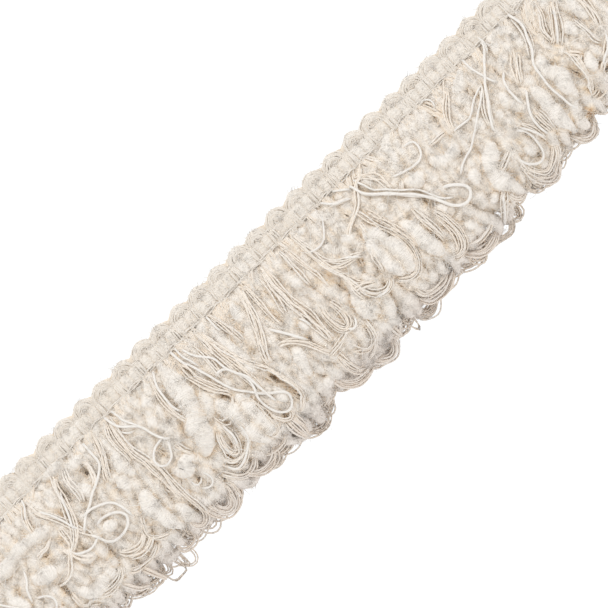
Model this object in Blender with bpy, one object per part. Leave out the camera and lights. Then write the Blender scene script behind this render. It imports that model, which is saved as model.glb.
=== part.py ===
"""A cut length of chenille loop fringe, lying flat on its back.

The trimming runs along X, with its crocheted heading towards +Y and its loops towards -Y, and it rests
on z = 0. The origin is under the middle of its bounding box. The fringe is a pile of looped strands in
five layers. Each layer springs from its own narrow strip beside the heading, fans out upwards, and stays
inside its own band of heights, so that no strand of one layer meets a strand of another.
"""

import math
import random

import bmesh
import bpy
import numpy as np
from mathutils import Vector

# Driving dimensions, in metres
LENGTH = 0.272
WIDTH = 0.0584
HEADING_WIDTH = 0.0085
GAP = 0.0003

# Heading stitches
SCALLOPS = 34
COLUMNS_PER_SCALLOP = 4
HEADING_ROWS = 6
SCALLOP_DEPTH = 0.0009
HEADING_EDGE_HEIGHT = 0.0016
SHELL_HEIGHT = 0.0032
GROOVE_HEIGHT = 0.0023
CHAIN_HEIGHT = 0.0045
STITCH_RELIEF = 0.0006

# Root strips, one for each layer, stacked beside the heading
STRIP_WIDTH = 0.0022
STRIP_THICKNESS = 0.00095
STRIP_PITCH = STRIP_THICKNESS + GAP
ROOT_DEPTH = 0.0011

# Where the strands fan out from the strips, as distances from the strips' front
FAN_POINTS = (-ROOT_DEPTH, 0.0002, 0.0045, 0.0105)
RISE_LENGTH = 0.011
ROOT_FILL = 0.8
ROOT_PLAY = 0.00005
ROOT_WAVE = 0.0021
BUMP_HEIGHT = 0.0009
BUMP_WAVES = 7
BROAD_WAVES = 3

# How evenly the loops lie
LANE_PLAY = 0.03
YARN_PLAY = 0.05
END_FADE = 0.08
LONGEST_AT = -0.024
TIP_ANGLES = (45, 90, 135)

STRIP_FRONT = WIDTH / 2 - HEADING_WIDTH - GAP - STRIP_WIDTH
FULL_REACH = STRIP_FRONT + WIDTH / 2
PITCH = LENGTH / SCALLOPS
SEED = 19

# How far the fringe reaches along its length, as a share of the full reach
EDGE_COLUMNS = ("x", "share")
EDGE_ROWS = (
    (-0.136, 0.99),
    (-0.088, 0.98),
    (-0.056, 0.94),
    (-0.024, 1.00),
    (0.009, 0.96),
    (0.046, 0.93),
    (0.079, 0.88),
    (0.136, 0.88),
)

# One row for each layer of the pile, from the floor up. Middle is the height of its strands' centres, bumps
# how many times the pile's unevenness lies under it, shortest and longest the loops' shares of the local
# reach, roots and belly half the spacing of a loop's two legs, lean how far the tips are carried along X,
# and sway how much that changes along the trimming in so many waves.
LAYER_COLUMNS = (
    "name", "strands", "sides", "width", "height", "middle", "bumps",
    "shortest", "longest", "roots", "belly", "slack", "lean", "sway", "waves",
)
LAYER_ROWS = (
    ("chenille_loops_lower", 20, 4, 0.0048, 0.0042, 0.0021, 0,
     0.90, 1.00, 0.0027, 0.0029, 0.0006, 0.000, 0.0012, 3),
    ("chenille_loops_middle", 20, 4, 0.0048, 0.0042, 0.0067, 1,
     0.82, 0.95, 0.0027, 0.0029, 0.0006, 0.004, 0.0010, 2),
    ("chenille_loops_upper", 19, 4, 0.0048, 0.0040, 0.0112, 2,
     0.66, 0.88, 0.0028, 0.0031, 0.0008, -0.004, 0.0010, 3),
    ("yarn_skein_loops", 16, 4, 0.0026, 0.0014, 0.0143, 2,
     0.52, 0.82, 0.0016, 0.0034, 0.0012, 0.003, 0.0050, 2),
    ("cotton_cord_loops", 14, 3, 0.0014, 0.0012, 0.0160, 2,
     0.40, 0.84, 0.0010, 0.0034, 0.0018, -0.002, 0.0060, 3),
)

# Base colour and roughness of each node
FINISH_COLUMNS = ("name", "colour", "roughness")
FINISH_ROWS = (
    ("heading_braid", (0.76, 0.70, 0.61), 0.85),
    ("chenille_loops_lower", (0.79, 0.74, 0.66), 0.95),
    ("chenille_loops_middle", (0.80, 0.75, 0.67), 0.95),
    ("chenille_loops_upper", (0.82, 0.77, 0.69), 0.95),
    ("yarn_skein_loops", (0.76, 0.69, 0.59), 0.70),
    ("cotton_cord_loops", (0.88, 0.87, 0.84), 0.60),
)

MESH_TOLERANCE = 1e-6


def table(columns, rows):
    """The rows of a table, each as a dictionary by column name."""
    return [dict(zip(columns, row)) for row in rows]


def clear_scene():
    for thing in list(bpy.data.objects):
        bpy.data.objects.remove(thing, do_unlink=True)


def new_collection(name):
    collection = bpy.data.collections.new(name)
    bpy.context.scene.collection.children.link(collection)
    return collection


def fabric(name, colour, roughness):
    """A plain yarn material in one colour."""
    material = bpy.data.materials.new(name)
    material.use_nodes = True
    shader = material.node_tree.nodes["Principled BSDF"]
    shader.inputs["Base Color"].default_value = (*colour, 1.0)
    shader.inputs["Roughness"].default_value = roughness
    shader.inputs["Metallic"].default_value = 0.0
    return material


def ease(share):
    """Smooth step from 0 to 1, held at its ends."""
    t = min(max(share, 0.0), 1.0)
    return t * t * (3.0 - 2.0 * t)


def full_share(x):
    """How far the fringe reaches at x, as a share of the full reach, from the edge table."""
    rows = table(EDGE_COLUMNS, EDGE_ROWS)
    return float(np.interp(x, [row["x"] for row in rows], [row["share"] for row in rows]))


def bump(x, distance):
    """Unevenness of the pile, from 0 to BUMP_HEIGHT: waves along the trimming that turn with distance."""
    turn = 2.0 * math.pi * x / LENGTH
    fine = math.sin(BUMP_WAVES * turn + 3.0 * distance / FULL_REACH)
    broad = math.cos(BROAD_WAVES * turn + 1.0)
    return BUMP_HEIGHT * (0.5 + 0.3 * fine + 0.2 * broad) * ease(distance / RISE_LENGTH)


def layer_height(layer, level, x, distance):
    """Height of a layer's middle: from the middle of its strip up to its own place in the pile."""
    root = level * STRIP_PITCH + STRIP_THICKNESS / 2 + ROOT_PLAY * math.sin(x / ROOT_WAVE)
    rise = ease(distance / RISE_LENGTH)
    return root + (layer["middle"] - root) * rise + layer["bumps"] * bump(x, distance)


def squeeze(layer, distance):
    """Share of the full thickness at a distance: the yarn is pressed flat where the heading holds it."""
    root = ROOT_FILL * STRIP_THICKNESS / layer["height"]
    return root + (1.0 - root) * ease(distance / RISE_LENGTH)


def shift(layer, x, distance):
    """How far a strand that springs at x is carried along the trimming, by its lean and by waves of sway.

    Both fade out near the cut ends.
    """
    share = max(distance, 0.0) / FULL_REACH
    inside = ease((LENGTH / 2 - abs(x)) / END_FADE)
    sway = layer["sway"] * math.sin(2.0 * math.pi * layer["waves"] * x / LENGTH)
    return (layer["lean"] + sway) * share * inside


def loop_plan(layer, reach, belly):
    """A hairpin loop seen from above, as pairs of sideways offset and distance.

    Two legs spread from the roots to the belly, and a half circle of the belly's radius joins their tips.
    """
    centre = reach - layer["width"] / 2 - belly
    stations = list(FAN_POINTS) + [(FAN_POINTS[-1] + centre) / 2, centre]
    leg = []
    for distance in stations:
        spread = layer["roots"] + (belly - layer["roots"]) * ease(distance / centre)
        leg.append((spread, distance))
    tip = []
    for angle in TIP_ANGLES:
        turn = math.radians(angle)
        tip.append((belly * math.cos(turn), centre + belly * math.sin(turn)))
    return leg + tip + [(-offset, distance) for offset, distance in reversed(leg)]


def loop_path(layer, x, reach, belly, rng):
    """The flat route of one looped strand, as triples of x, y and the yarn's swell."""
    points = []
    for offset, distance in loop_plan(layer, reach, belly):
        place = x + offset
        swell = 1.0 - rng.uniform(0.0, 2.0 * YARN_PLAY)
        points.append([place + shift(layer, place, distance), STRIP_FRONT - distance, swell])
    points[len(points) // 2][2] = 1.0
    return points


def section(name, width, height, sides):
    """The outline that a strand is made with: a rectangle, or a triangle with a flat base, as a curve."""
    if sides == 4:
        corners = [(-0.5, -0.5), (0.5, -0.5), (0.5, 0.5), (-0.5, 0.5)]
    else:
        corners = [(-0.5, -0.5), (0.5, -0.5), (0.0, 0.5)]
    data = bpy.data.curves.new(name, "CURVE")
    data.dimensions = "2D"
    spline = data.splines.new("POLY")
    spline.points.add(len(corners) - 1)
    for point, (across, up) in zip(spline.points, corners):
        point.co = (across * width, up * height, 0.0, 1.0)
    spline.use_cyclic_u = True
    return bpy.data.objects.new(name, data)


def strands(name, profile, paths):
    """All the strands of one layer, still flat, as one mesh of capped and welded sweeps of the section."""
    data = bpy.data.curves.new(name, "CURVE")
    data.dimensions = "3D"
    data.twist_mode = "Z_UP"
    data.bevel_mode = "OBJECT"
    data.bevel_object = profile
    data.use_fill_caps = True
    for path in paths:
        spline = data.splines.new("POLY")
        spline.points.add(len(path) - 1)
        for point, (x, y, swell) in zip(spline.points, path):
            point.co = (x, y, 0.0, 1.0)
            point.radius = swell
    curve = bpy.data.objects.new(name, data)
    bpy.context.scene.collection.objects.link(curve)
    bpy.context.view_layer.update()
    evaluated = curve.evaluated_get(bpy.context.evaluated_depsgraph_get())
    mesh = bpy.data.meshes.new_from_object(evaluated)
    bpy.data.objects.remove(curve, do_unlink=True)
    bm = bmesh.new()
    bm.from_mesh(mesh)
    bmesh.ops.remove_doubles(bm, verts=bm.verts, dist=MESH_TOLERANCE)
    bmesh.ops.recalc_face_normals(bm, faces=bm.faces)
    bm.to_mesh(mesh)
    bm.free()
    mesh.name = name
    return mesh


def pile_up(mesh, layer, level):
    """Lift a flat layer to its place: squeezed into its strip at the roots, it rises and swells from there.

    Every point moves straight up or down, so layers whose heights are apart stay apart.
    """
    for vert in mesh.vertices:
        distance = STRIP_FRONT - vert.co.y
        half = math.copysign(layer["height"] / 2, vert.co.z) * squeeze(layer, distance)
        vert.co.z = layer_height(layer, level, vert.co.x, distance) + half


def root_strip(level):
    """The narrow strip that holds one layer's roots, as a mesh."""
    mesh = bpy.data.meshes.new("root_strip")
    bm = bmesh.new()
    bmesh.ops.create_cube(bm, size=1.0)
    size = Vector((LENGTH, STRIP_WIDTH, STRIP_THICKNESS))
    bmesh.ops.scale(bm, vec=size, verts=bm.verts)
    middle = Vector((0.0, STRIP_FRONT + STRIP_WIDTH / 2, level * STRIP_PITCH + STRIP_THICKNESS / 2))
    bmesh.ops.translate(bm, vec=middle, verts=bm.verts)
    bm.to_mesh(mesh)
    bm.free()
    return mesh


def lane_places(count, rng):
    """Where a layer's loops spring from: even lanes along the trimming, each a little out of step."""
    lane = LENGTH / count
    return [-LENGTH / 2 + lane * (i + 0.5 + rng.uniform(-LANE_PLAY, LANE_PLAY)) for i in range(count)]


def fringe_layer(layer, level, guides, collection, material):
    """One layer of loops, fused to its root strip by a Boolean union."""
    name = layer["name"]
    rng = random.Random(SEED + level)
    places = lane_places(layer["strands"], rng)
    longest = min(places, key=lambda x: abs(x - LONGEST_AT))
    paths = []
    for x in places:
        share = layer["longest"]
        if x != longest:
            share = rng.uniform(layer["shortest"], layer["longest"]) * full_share(x)
        belly = layer["belly"] + rng.uniform(-0.5, 0.5) * layer["slack"]
        paths.append(loop_path(layer, x, FULL_REACH * share, belly, rng))
    profile = section(name + "_section", layer["width"], layer["height"], layer["sides"])
    loops = strands(name, profile, paths)
    pile_up(loops, layer, level)
    pile = bpy.data.objects.new(name + "_loops", loops)
    for guide in (profile, pile):
        guide.hide_render = True
        guide.display_type = "WIRE"
        guides.objects.link(guide)
    node = bpy.data.objects.new(name, root_strip(level))
    node.data.materials.append(material)
    collection.objects.link(node)
    union = node.modifiers.new("Roots", "BOOLEAN")
    union.operation = "UNION"
    union.solver = "EXACT"
    union.object = pile


def heading_height(along, across):
    """Height of the heading's face, from its free edge at across 0 to its inner edge at across 1.

    A row of shells, one for each scallop, then a groove with a dent between shells, then a row of chains.
    """
    beat = abs(math.cos(math.pi * along / PITCH))
    chain = math.cos(4.0 * math.pi * along / PITCH)
    stations = [row / HEADING_ROWS for row in range(HEADING_ROWS + 1)]
    heights = (
        HEADING_EDGE_HEIGHT,
        SHELL_HEIGHT + STITCH_RELIEF * (beat - 0.5),
        SHELL_HEIGHT + STITCH_RELIEF * (beat - 0.5),
        GROOVE_HEIGHT + STITCH_RELIEF * beat,
        CHAIN_HEIGHT - STITCH_RELIEF,
        CHAIN_HEIGHT + 0.5 * STITCH_RELIEF * chain,
        CHAIN_HEIGHT - 0.5 * STITCH_RELIEF,
    )
    return float(np.interp(across, stations, heights))


def heading_braid(collection, material):
    """The heading: a grid raised into stitches, drawn down to a flat back, with a scalloped free edge."""
    columns = SCALLOPS * COLUMNS_PER_SCALLOP
    inner = WIDTH / 2 - HEADING_WIDTH
    bm = bmesh.new()
    bmesh.ops.create_grid(bm, x_segments=columns, y_segments=HEADING_ROWS, size=0.5)
    for vert in bm.verts:
        along = vert.co.x * LENGTH
        across = 0.5 - vert.co.y
        dip = SCALLOP_DEPTH * (1.0 - abs(math.cos(math.pi * along / PITCH)))
        outer = WIDTH / 2 - dip
        vert.co = (along, outer + (inner - outer) * across, heading_height(along, across))
    back = bmesh.ops.extrude_face_region(bm, geom=bm.faces[:])["geom"]
    for vert in [part for part in back if isinstance(part, bmesh.types.BMVert)]:
        vert.co.z = 0.0
    flat = [face for face in bm.faces if all(vert.co.z == 0.0 for vert in face.verts)]
    bmesh.ops.dissolve_faces(bm, faces=flat)
    bmesh.ops.recalc_face_normals(bm, faces=bm.faces)
    mesh = bpy.data.meshes.new("heading_braid")
    bm.to_mesh(mesh)
    bm.free()
    mesh.materials.append(material)
    node = bpy.data.objects.new("heading_braid", mesh)
    collection.objects.link(node)
    return node


def main():
    clear_scene()
    trimming = new_collection("chenille_loop_fringe")
    guides = new_collection("guides")
    finishes = {row["name"]: fabric(**row) for row in table(FINISH_COLUMNS, FINISH_ROWS)}
    heading_braid(trimming, finishes["heading_braid"])
    for level, layer in enumerate(table(LAYER_COLUMNS, LAYER_ROWS)):
        fringe_layer(layer, level, guides, trimming, finishes[layer["name"]])


main()
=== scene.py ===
"""A cut length of chenille loop fringe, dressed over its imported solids.

Lengths inside the making functions are millimetres in the row frame: x along the trimming, y across it from the
loops towards the heading, z up from the surface that it lies on. They become metres when a mesh is made.
"""

import bpy
import numpy as np
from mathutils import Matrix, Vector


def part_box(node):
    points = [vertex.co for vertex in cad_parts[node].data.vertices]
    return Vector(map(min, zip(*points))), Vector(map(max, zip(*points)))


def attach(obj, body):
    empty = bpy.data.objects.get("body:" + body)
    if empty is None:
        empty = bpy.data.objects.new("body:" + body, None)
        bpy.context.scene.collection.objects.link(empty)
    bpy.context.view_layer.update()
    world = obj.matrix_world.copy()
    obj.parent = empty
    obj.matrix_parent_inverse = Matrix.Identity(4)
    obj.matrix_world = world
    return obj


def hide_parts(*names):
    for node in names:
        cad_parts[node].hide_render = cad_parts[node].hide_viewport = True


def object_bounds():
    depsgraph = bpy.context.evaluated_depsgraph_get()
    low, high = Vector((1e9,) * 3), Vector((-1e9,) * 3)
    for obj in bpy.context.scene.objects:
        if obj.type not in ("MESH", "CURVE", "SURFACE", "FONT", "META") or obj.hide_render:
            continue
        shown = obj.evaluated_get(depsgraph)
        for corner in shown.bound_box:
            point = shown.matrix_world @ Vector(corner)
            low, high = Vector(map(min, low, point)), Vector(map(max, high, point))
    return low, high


bl_info = {
    "name": "Chenille loop fringe",
    "version": (1, 0, 0),
    "blender": (4, 5, 0),
    "location": "3D View > Sidebar > Fringe",
    "description": "Makes a length of crocheted and looped fringe over its packed solids",
    "category": "Add Mesh",
}

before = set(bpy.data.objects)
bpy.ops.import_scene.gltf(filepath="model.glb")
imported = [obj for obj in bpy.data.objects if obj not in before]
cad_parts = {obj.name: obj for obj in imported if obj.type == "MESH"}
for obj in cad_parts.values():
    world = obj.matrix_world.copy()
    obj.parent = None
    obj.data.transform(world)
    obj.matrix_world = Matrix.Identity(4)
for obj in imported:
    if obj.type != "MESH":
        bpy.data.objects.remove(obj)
CAD_BOX = [list(corner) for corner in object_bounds()]

MM = 0.001  # metres
SEED = 19
UP = np.array([0.0, 0.0, 1.0])

# Half the length, the y of the heading's inner edge, and the y from which the loops spring.
HALF_LENGTH = CAD_BOX[1][0] / MM
HEADING_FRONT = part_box("heading_braid")[0][1] / MM
ROOT_Y = HEADING_FRONT + 0.1

# Steps between the points of a chenille strand, and of one that lies so deep that it hardly shows.
FINE_STEP = 0.6
COARSE_STEP = 0.9

# Caps are the heights that centre lines stay below. Below the first of these a chenille strand lies deep, and the
# others are those of the fillers, of the loops at the edge and of what lies on top.
DEEP_CAP = 8.0
ROOT_FILLER_CAP = 9.5
EDGE_FILLER_CAP = 10.5
GAP_FILLER_CAP = 11.0
EDGE_LOOP_CAP = 7.5
TOP_CHENILLE_CAP = 12.5
CORE_CAP = 14.0
BUNDLE_CAP = 16.0
CORD_CAP = 17.0

# The greatest height of the pile, and the y beyond which the fringe's edge begins.
PILE_HEIGHT = 11.0
NEAR_EDGE_Y = -15

# Where the fringe ends along its length, as x and y.
FRINGE_EDGE = (
    (-136, -24.5), (-116, -24.0), (-104, -24.5), (-93, -24.7), (-90, -26.3), (-80, -26.0), (-70, -25.8),
    (-63, -25), (-60, -26.6), (-52, -25), (-48, -24.5), (-40, -26.4), (-35, -25.3), (-28, -28), (-20, -28.6),
    (-15, -25), (-10, -24.5), (-5, -26.7), (0, -25.8), (7, -28), (12, -25.8), (16, -25), (24, -26.6),
    (33, -25.5), (37, -23.5), (44, -25.5), (52, -25.5), (57, -26), (62, -25), (66, -21.5), (70, -20.8),
    (77, -24.4), (82, -22), (88, -20.5), (92, -22.6), (97, -23), (103, -20.5), (116, -21), (136, -21),
)

# Layers of loops from the lowest to the highest: kind, loops, shares of the full reach, belly, bow, lean, the
# height that their centre lines stay below, and the yarns of a skein.
LAYERS = (
    ("skein", 42, 0.96, 1.02, 8.5, 3.0, 6.0, 2.6, 7),
    ("chenille", 50, 0.84, 0.98, 6.5, 3.5, 8.0, 3.2, 1),
    ("skein", 34, 0.94, 1.02, 8.0, 3.5, 8.0, 6.5, 6),
    ("chenille", 40, 0.70, 0.93, 7.5, 4.0, 9.0, 7.0, 1),
    ("skein", 26, 0.80, 0.99, 7.0, 4.5, 9.0, 9.5, 5),
    ("chenille", 54, 0.34, 0.82, 7.5, 5.0, 10.0, 10.0, 1),
    ("skein", 46, 0.35, 0.92, 5.0, 5.0, 11.0, 12.0, 6),
)

# Places along the fringe where its edge is so thin that light shows between the loops, as x and half a width.
THIN_PLACES = ((-78.5, 6.5), (57.0, 4.0))

# Hollows where the loops part, so that one sees deep into the pile: x, y, half a width and half a length.
HOLLOWS = (
    (-119, 1.5, 0.9, 0.9), (-109.7, -7.5, 1.1, 1.4), (-106, 2.5, 0.9, 1.4), (-99.5, 2.5, 0.8, 1.5),
    (-97, -1.5, 0.6, 0.8), (-92, -9.5, 0.9, 0.9), (-92.2, -0.4, 0.6, 0.6), (-88.6, 13.5, 0.9, 2.0),
    (-81.2, 13.5, 1.5, 1.3), (-81.2, 6.5, 0.5, 1.2), (-78.7, 2, 0.8, 1.5), (-77.5, -9.7, 0.7, 0.9),
    (-66.8, -9.5, 0.5, 1.0), (-60.5, 0.2, 0.8, 1.0), (-58.5, -11.5, 0.6, 0.6), (-52.6, -3, 1.1, 0.9),
    (-51.5, 2, 0.8, 0.8), (-46.8, -14, 0.7, 1.0), (-40.1, -6.2, 0.6, 0.6), (-38.3, 12, 0.7, 1.8),
    (-35.5, -0.6, 0.8, 1.2), (-27.4, -17.1, 0.7, 0.7), (-22.4, 10, 0.5, 1.2), (-21.3, -6.5, 0.7, 2.1),
    (-21, 3, 0.5, 1.9), (-19.9, -15, 0.4, 0.8), (-9.8, 6, 0.35, 2.0), (-8.1, 6, 0.35, 2.6),
    (-6.8, -5.8, 0.4, 0.5), (-4.5, 8.5, 0.5, 2.2), (1.5, -17.3, 0.5, 1.2), (3.6, 14, 0.7, 1.2),
    (7.8, 3.5, 0.8, 2.2), (10.6, 2.0, 1.0, 2.4), (12, -1.8, 1.0, 2.0), (20.7, -1.3, 0.7, 1.6),
    (21.9, -4, 1.2, 1.5), (26.2, 2.6, 0.8, 0.8), (28, 12.3, 1.0, 0.6), (30.8, 3.2, 0.7, 1.6),
    (31.8, 0.4, 0.7, 1.2), (36.8, 14, 0.8, 1.5), (40.5, -0.7, 0.7, 1.0), (41.4, 15, 0.4, 1.2),
    (46.6, -2, 0.8, 1.3), (66, -2, 0.6, 0.9), (66, 12.6, 0.7, 1.3), (68, -1.2, 1.0, 1.2),
    (73.6, -11.8, 0.8, 1.5), (77.5, -17.5, 0.6, 0.6), (78.5, -8, 0.9, 0.7), (84, -3, 0.6, 0.5),
    (86, -1.4, 0.8, 0.6), (95.2, -7.6, 0.5, 0.9), (99.5, -16.5, 1.5, 1.0), (102.7, -11.3, 0.5, 1.3),
    (102.9, 0.8, 1.2, 1.1), (104.8, -6, 0.5, 2.5), (105.4, 12.5, 0.6, 1.6), (105.9, 3.4, 0.9, 1.2),
    (106.3, 8.7, 0.5, 1.3), (112, -11, 1.0, 1.0),
)

# How thick the pile is across the fringe, as y and a share of its greatest height.
PILE_SHAPE = (
    (-30, 0.2), (-27, 0.32), (-23, 0.52), (-18, 0.8), (-12, 0.97), (-6, 1.0), (1, 0.92), (8, 0.76),
    (14, 0.58), (18, 0.44), (21, 0.36),
)


def wander(rng, length, wave, count=3):
    """A slow random wave along a strand, between about minus one and one.

    It is the mean of a few sines whose wavelengths lie round the one given, each with its own random phase.
    """
    waves = wave * rng.uniform(0.6, 1.6, (count, 1))
    phases = rng.uniform(0, 2 * np.pi, (count, 1))
    return np.sin(2 * np.pi * length[None, :] / waves + phases).mean(axis=0) * 1.4


def even_line(points, step):
    """A smooth line through a few points, cut into even steps.

    Between two points it is the cubic whose slope at each of them is half the way from the point before to the
    point after. Its length is then measured, and the line is read off at equal lengths.
    """
    p = np.asarray(points, float)
    before = np.vstack([2 * p[0] - p[1], p[:-1]])
    after = np.vstack([p[1:], 2 * p[-1] - p[-2]])
    slope = (after - before) / 2
    t = np.linspace(0, 1, 10, endpoint=False)[:, None, None]
    fine = (
        (2 * t**3 - 3 * t**2 + 1) * p[:-1]
        + (t**3 - 2 * t**2 + t) * slope[:-1]
        + (3 * t**2 - 2 * t**3) * p[1:]
        + (t**3 - t**2) * slope[1:]
    )
    fine = np.vstack([fine.transpose(1, 0, 2).reshape(-1, p.shape[1]), p[-1:]])
    gone = np.concatenate([[0], np.cumsum(np.linalg.norm(np.diff(fine, axis=0), axis=1))])
    reach = np.linspace(0, gone[-1], max(4, round(gone[-1] / step)) + 1)
    return np.column_stack([np.interp(reach, gone, column) for column in fine.T])


def hairpin(root_x, tip_x, tip_y, belly, bow, gap, root_y=ROOT_Y):
    """Points of a loop that leaves the heading, turns at its tip and comes back beside itself.

    The middle of the loop runs straight from root to tip and bows sideways by a sine. The two legs stand off it
    by half a gap at the root, which grows to half the belly at the tip, and half a circle joins them.
    """
    s = np.linspace(0, 1, 7)[:, None]
    root, tip = np.array([root_x, root_y]), np.array([tip_x, tip_y])
    length = np.linalg.norm(tip - root)
    along = (tip - root) / length
    side = np.array([along[1], -along[0]])
    half = belly / 2
    middle = root + along * s * (length - half) + side * bow * np.sin(np.pi * s)
    swell = gap / 2 + (half - gap / 2) * s**1.8
    turn = np.radians([40, 90, 140])[:, None]
    tip_arc = middle[-1] - half * np.cos(turn) * side + half * np.sin(turn) * along
    return np.vstack([middle - side * swell, tip_arc, (middle + side * swell)[::-1]])


def part_round(xy, clear):
    """Parts a line round the hollows, which it then passes at a clearance.

    Round each hollow, distances are measured in units of its half size with the clearance added. What lies within
    two units is spread over one to two units.
    """
    for x, y, wide, high in HOLLOWS:
        size = np.array([wide + clear, high + clear])
        off = (xy - (x, y)) / size + 1e-6
        r = np.linalg.norm(off, axis=1)[:, None]
        xy = np.where(r < 2, (x, y) + off / r * (1 + r / 2) * size, xy)
    return xy


class Pile:
    """The top of everything that has been laid so far, as heights over a fine grid."""

    CELL = 0.4
    HALF_WIDTH = 33.0
    PAST_ENDS = 4

    def __init__(self):
        half = np.array([HALF_LENGTH + self.PAST_ENDS, self.HALF_WIDTH])
        self.low = -half
        self.top = np.zeros([int(size / self.CELL) + 1 for size in 2 * half])

    def cells(self, xy, width):
        """The grid cells within a width of each point, and how far each lies from it."""
        n = int(np.ceil(width / self.CELL))
        step = np.arange(-n, n + 1)
        offset = np.stack(np.meshgrid(step, step, indexing="ij"), -1).reshape(-1, 2)
        near = np.rint((xy - self.low) / self.CELL).astype(int)[:, None] + offset
        near = np.clip(near, 0, np.array(self.top.shape) - 1)
        away = np.linalg.norm(near * self.CELL + self.low - xy[:, None], axis=-1)
        return near, away

    def read(self, grid, xy):
        """The value of a grid at the cell nearest to each point."""
        near = np.rint((xy - self.low) / self.CELL).astype(int)
        near = np.clip(near, 0, np.array(self.top.shape) - 1)
        return grid[near[:, 0], near[:, 1]]

    def lay(self, xy, radius, stiff, rest, cap, dive):
        """Heights of a strand laid on the pile, which it is then added to.

        Each point rests where a ball of the strand's radius touches the pile, sunk three tenths of it into the
        pile. The topmost strands lie 0.6 mm higher, on the tufts. With rest below one, a point is held by that
        share of what lies under it and presses the higher part aside. A later stretch passes over an earlier one
        that it crosses. From each height the strand comes down no steeper than three in five, and a bell curve
        over the stiff length smooths it. The pile is pressed together: heights bend over below the cap, which
        falls towards the fringe's edge and towards the heading by the shape of the pile. Free ends dive into the
        pile, and ends at the heading a quarter as far.
        """
        near, away = self.cells(xy, radius.max())
        inside = away < np.maximum(radius, self.CELL)[:, None]
        dome = np.sqrt(np.clip(radius[:, None] ** 2 - away**2, 0, None))
        touch = np.where(inside, self.top[near[..., 0], near[..., 1]] + dome, np.nan)
        z = np.maximum(np.nanquantile(touch, rest, axis=1) - 0.3 * radius, 0.6 * radius)
        z = z + (0.6 if cap > 15 else 0.0)
        step = np.linalg.norm(np.diff(xy, axis=0), axis=1).mean()
        apart = np.linalg.norm(xy[:, None] - xy[None], axis=-1)
        places = np.arange(len(xy))
        later = places[:, None] - places[None] > 3 * radius.max() / step
        crossed = (later & (apart < 1.2 * radius[:, None])).any(axis=1)
        z = z + crossed * 1.5 * radius
        n = max(1, round(stiff / step))
        z = (z[None] - 0.6 * step * np.abs(places[:, None] - places[None])).max(axis=1)
        bell = np.exp(-0.5 * (np.arange(-2 * n, 2 * n + 1) / n) ** 2)
        z = np.convolve(np.pad(z, 2 * n, mode="edge"), bell / bell.sum(), mode="valid")
        high = cap * np.interp(xy[:, 1], *np.array(PILE_SHAPE).T) ** (1.5 if radius.max() > 1 else 1.0)
        z = np.where(z < 0.7 * high, z, high * (0.7 + 0.3 * np.tanh((z / high - 0.7) / 0.3)))
        for home, end in ((places, xy[0]), (places[::-1], xy[-1])):
            z = z - dive * (1.0 if end[1] < 17 else 0.25) * (1 - smooth(home * step / 3.5))
        z = np.maximum(z, 0.6 * radius)
        height = z[:, None] + dome
        np.maximum.at(self.top, (near[..., 0][inside], near[..., 1][inside]), height[inside])
        return z


def smooth(t):
    """Nought below 0, one above 1, and between them three squares less two cubes."""
    t = np.clip(t, 0, 1)
    return t * t * (3 - 2 * t)


def edge_y(x):
    """The y of the fringe's edge at x, read between the points of the table."""
    table = np.array(FRINGE_EDGE, float)
    return np.interp(x, table[:, 0], table[:, 1])


def chenille_radius(rng, xy, thick):
    """Radius along a chenille strand: slow swellings, and a pinch to two fifths at each end."""
    gone = np.arange(len(xy)) * np.linalg.norm(np.diff(xy, axis=0), axis=1).mean()
    home = np.minimum(gone, gone[::-1])
    return thick / 2 * (1 + 0.10 * wander(rng, gone, 9)) * (0.4 + 0.6 * smooth(home / 6.0))


def lay_chenille(pile, laid, rng, points, thick, cap, tint=None):
    """Lays one chenille strand and keeps its centre line, radius and tint.

    All but the deepest part round the hollows, with a third of their points drawn on as a smooth line, and the
    upper ones wander a little sideways. A strand with a tint of its own lies on top and dives less at its ends.
    """
    step = COARSE_STEP if cap < DEEP_CAP else FINE_STEP
    xy = even_line(points, step)
    if cap > 5:
        xy = even_line(part_round(xy, (0.25 if tint is None else 0.22) * thick)[::3], step)
    gone = np.arange(len(xy)) * FINE_STEP
    if cap > DEEP_CAP:
        xy = xy + 0.25 * np.column_stack([wander(rng, gone, 9), wander(rng, gone, 9)])
    radius = chenille_radius(rng, xy, thick)
    z = pile.lay(xy, radius, 1.2, 0.8, cap, 3.2 if tint is None else 1.8)
    laid["chenille"].append((np.column_stack([xy, z]), radius, rng.uniform() if tint is None else tint))


def lay_thread(pile, laid, rng, kind, points, thick, play, rest, cap, step=1.2, tint=None, keep=1):
    """Lays one thin yarn or cord, with a slight unevenness sideways, and keeps its line, radius and tint.

    Of its points away from the fringe's edge, where deep yarns hardly show, only one in a few is kept.
    """
    xy = even_line(points, step)
    if cap > 6 and kind == "skein":
        xy = part_round(xy, rng.uniform(-0.4, 0.4))
    gone = np.arange(len(xy)) * step
    free = smooth(np.minimum(gone, gone[::-1]) / 5)
    xy = xy + play * free[:, None] * np.column_stack([wander(rng, gone, 12), wander(rng, gone, 12)])
    radius = np.full(len(xy), thick / 2)
    z = pile.lay(xy, radius, 1.2, rest, cap, 3.0)
    kept = (xy[:, 1] < NEAR_EDGE_Y) | (np.arange(len(xy)) % keep == 0)
    kept[-1] = True
    tint = rng.uniform() if tint is None else tint
    laid[kind].append((np.column_stack([xy, z])[kept], radius[kept], tint))


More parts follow.
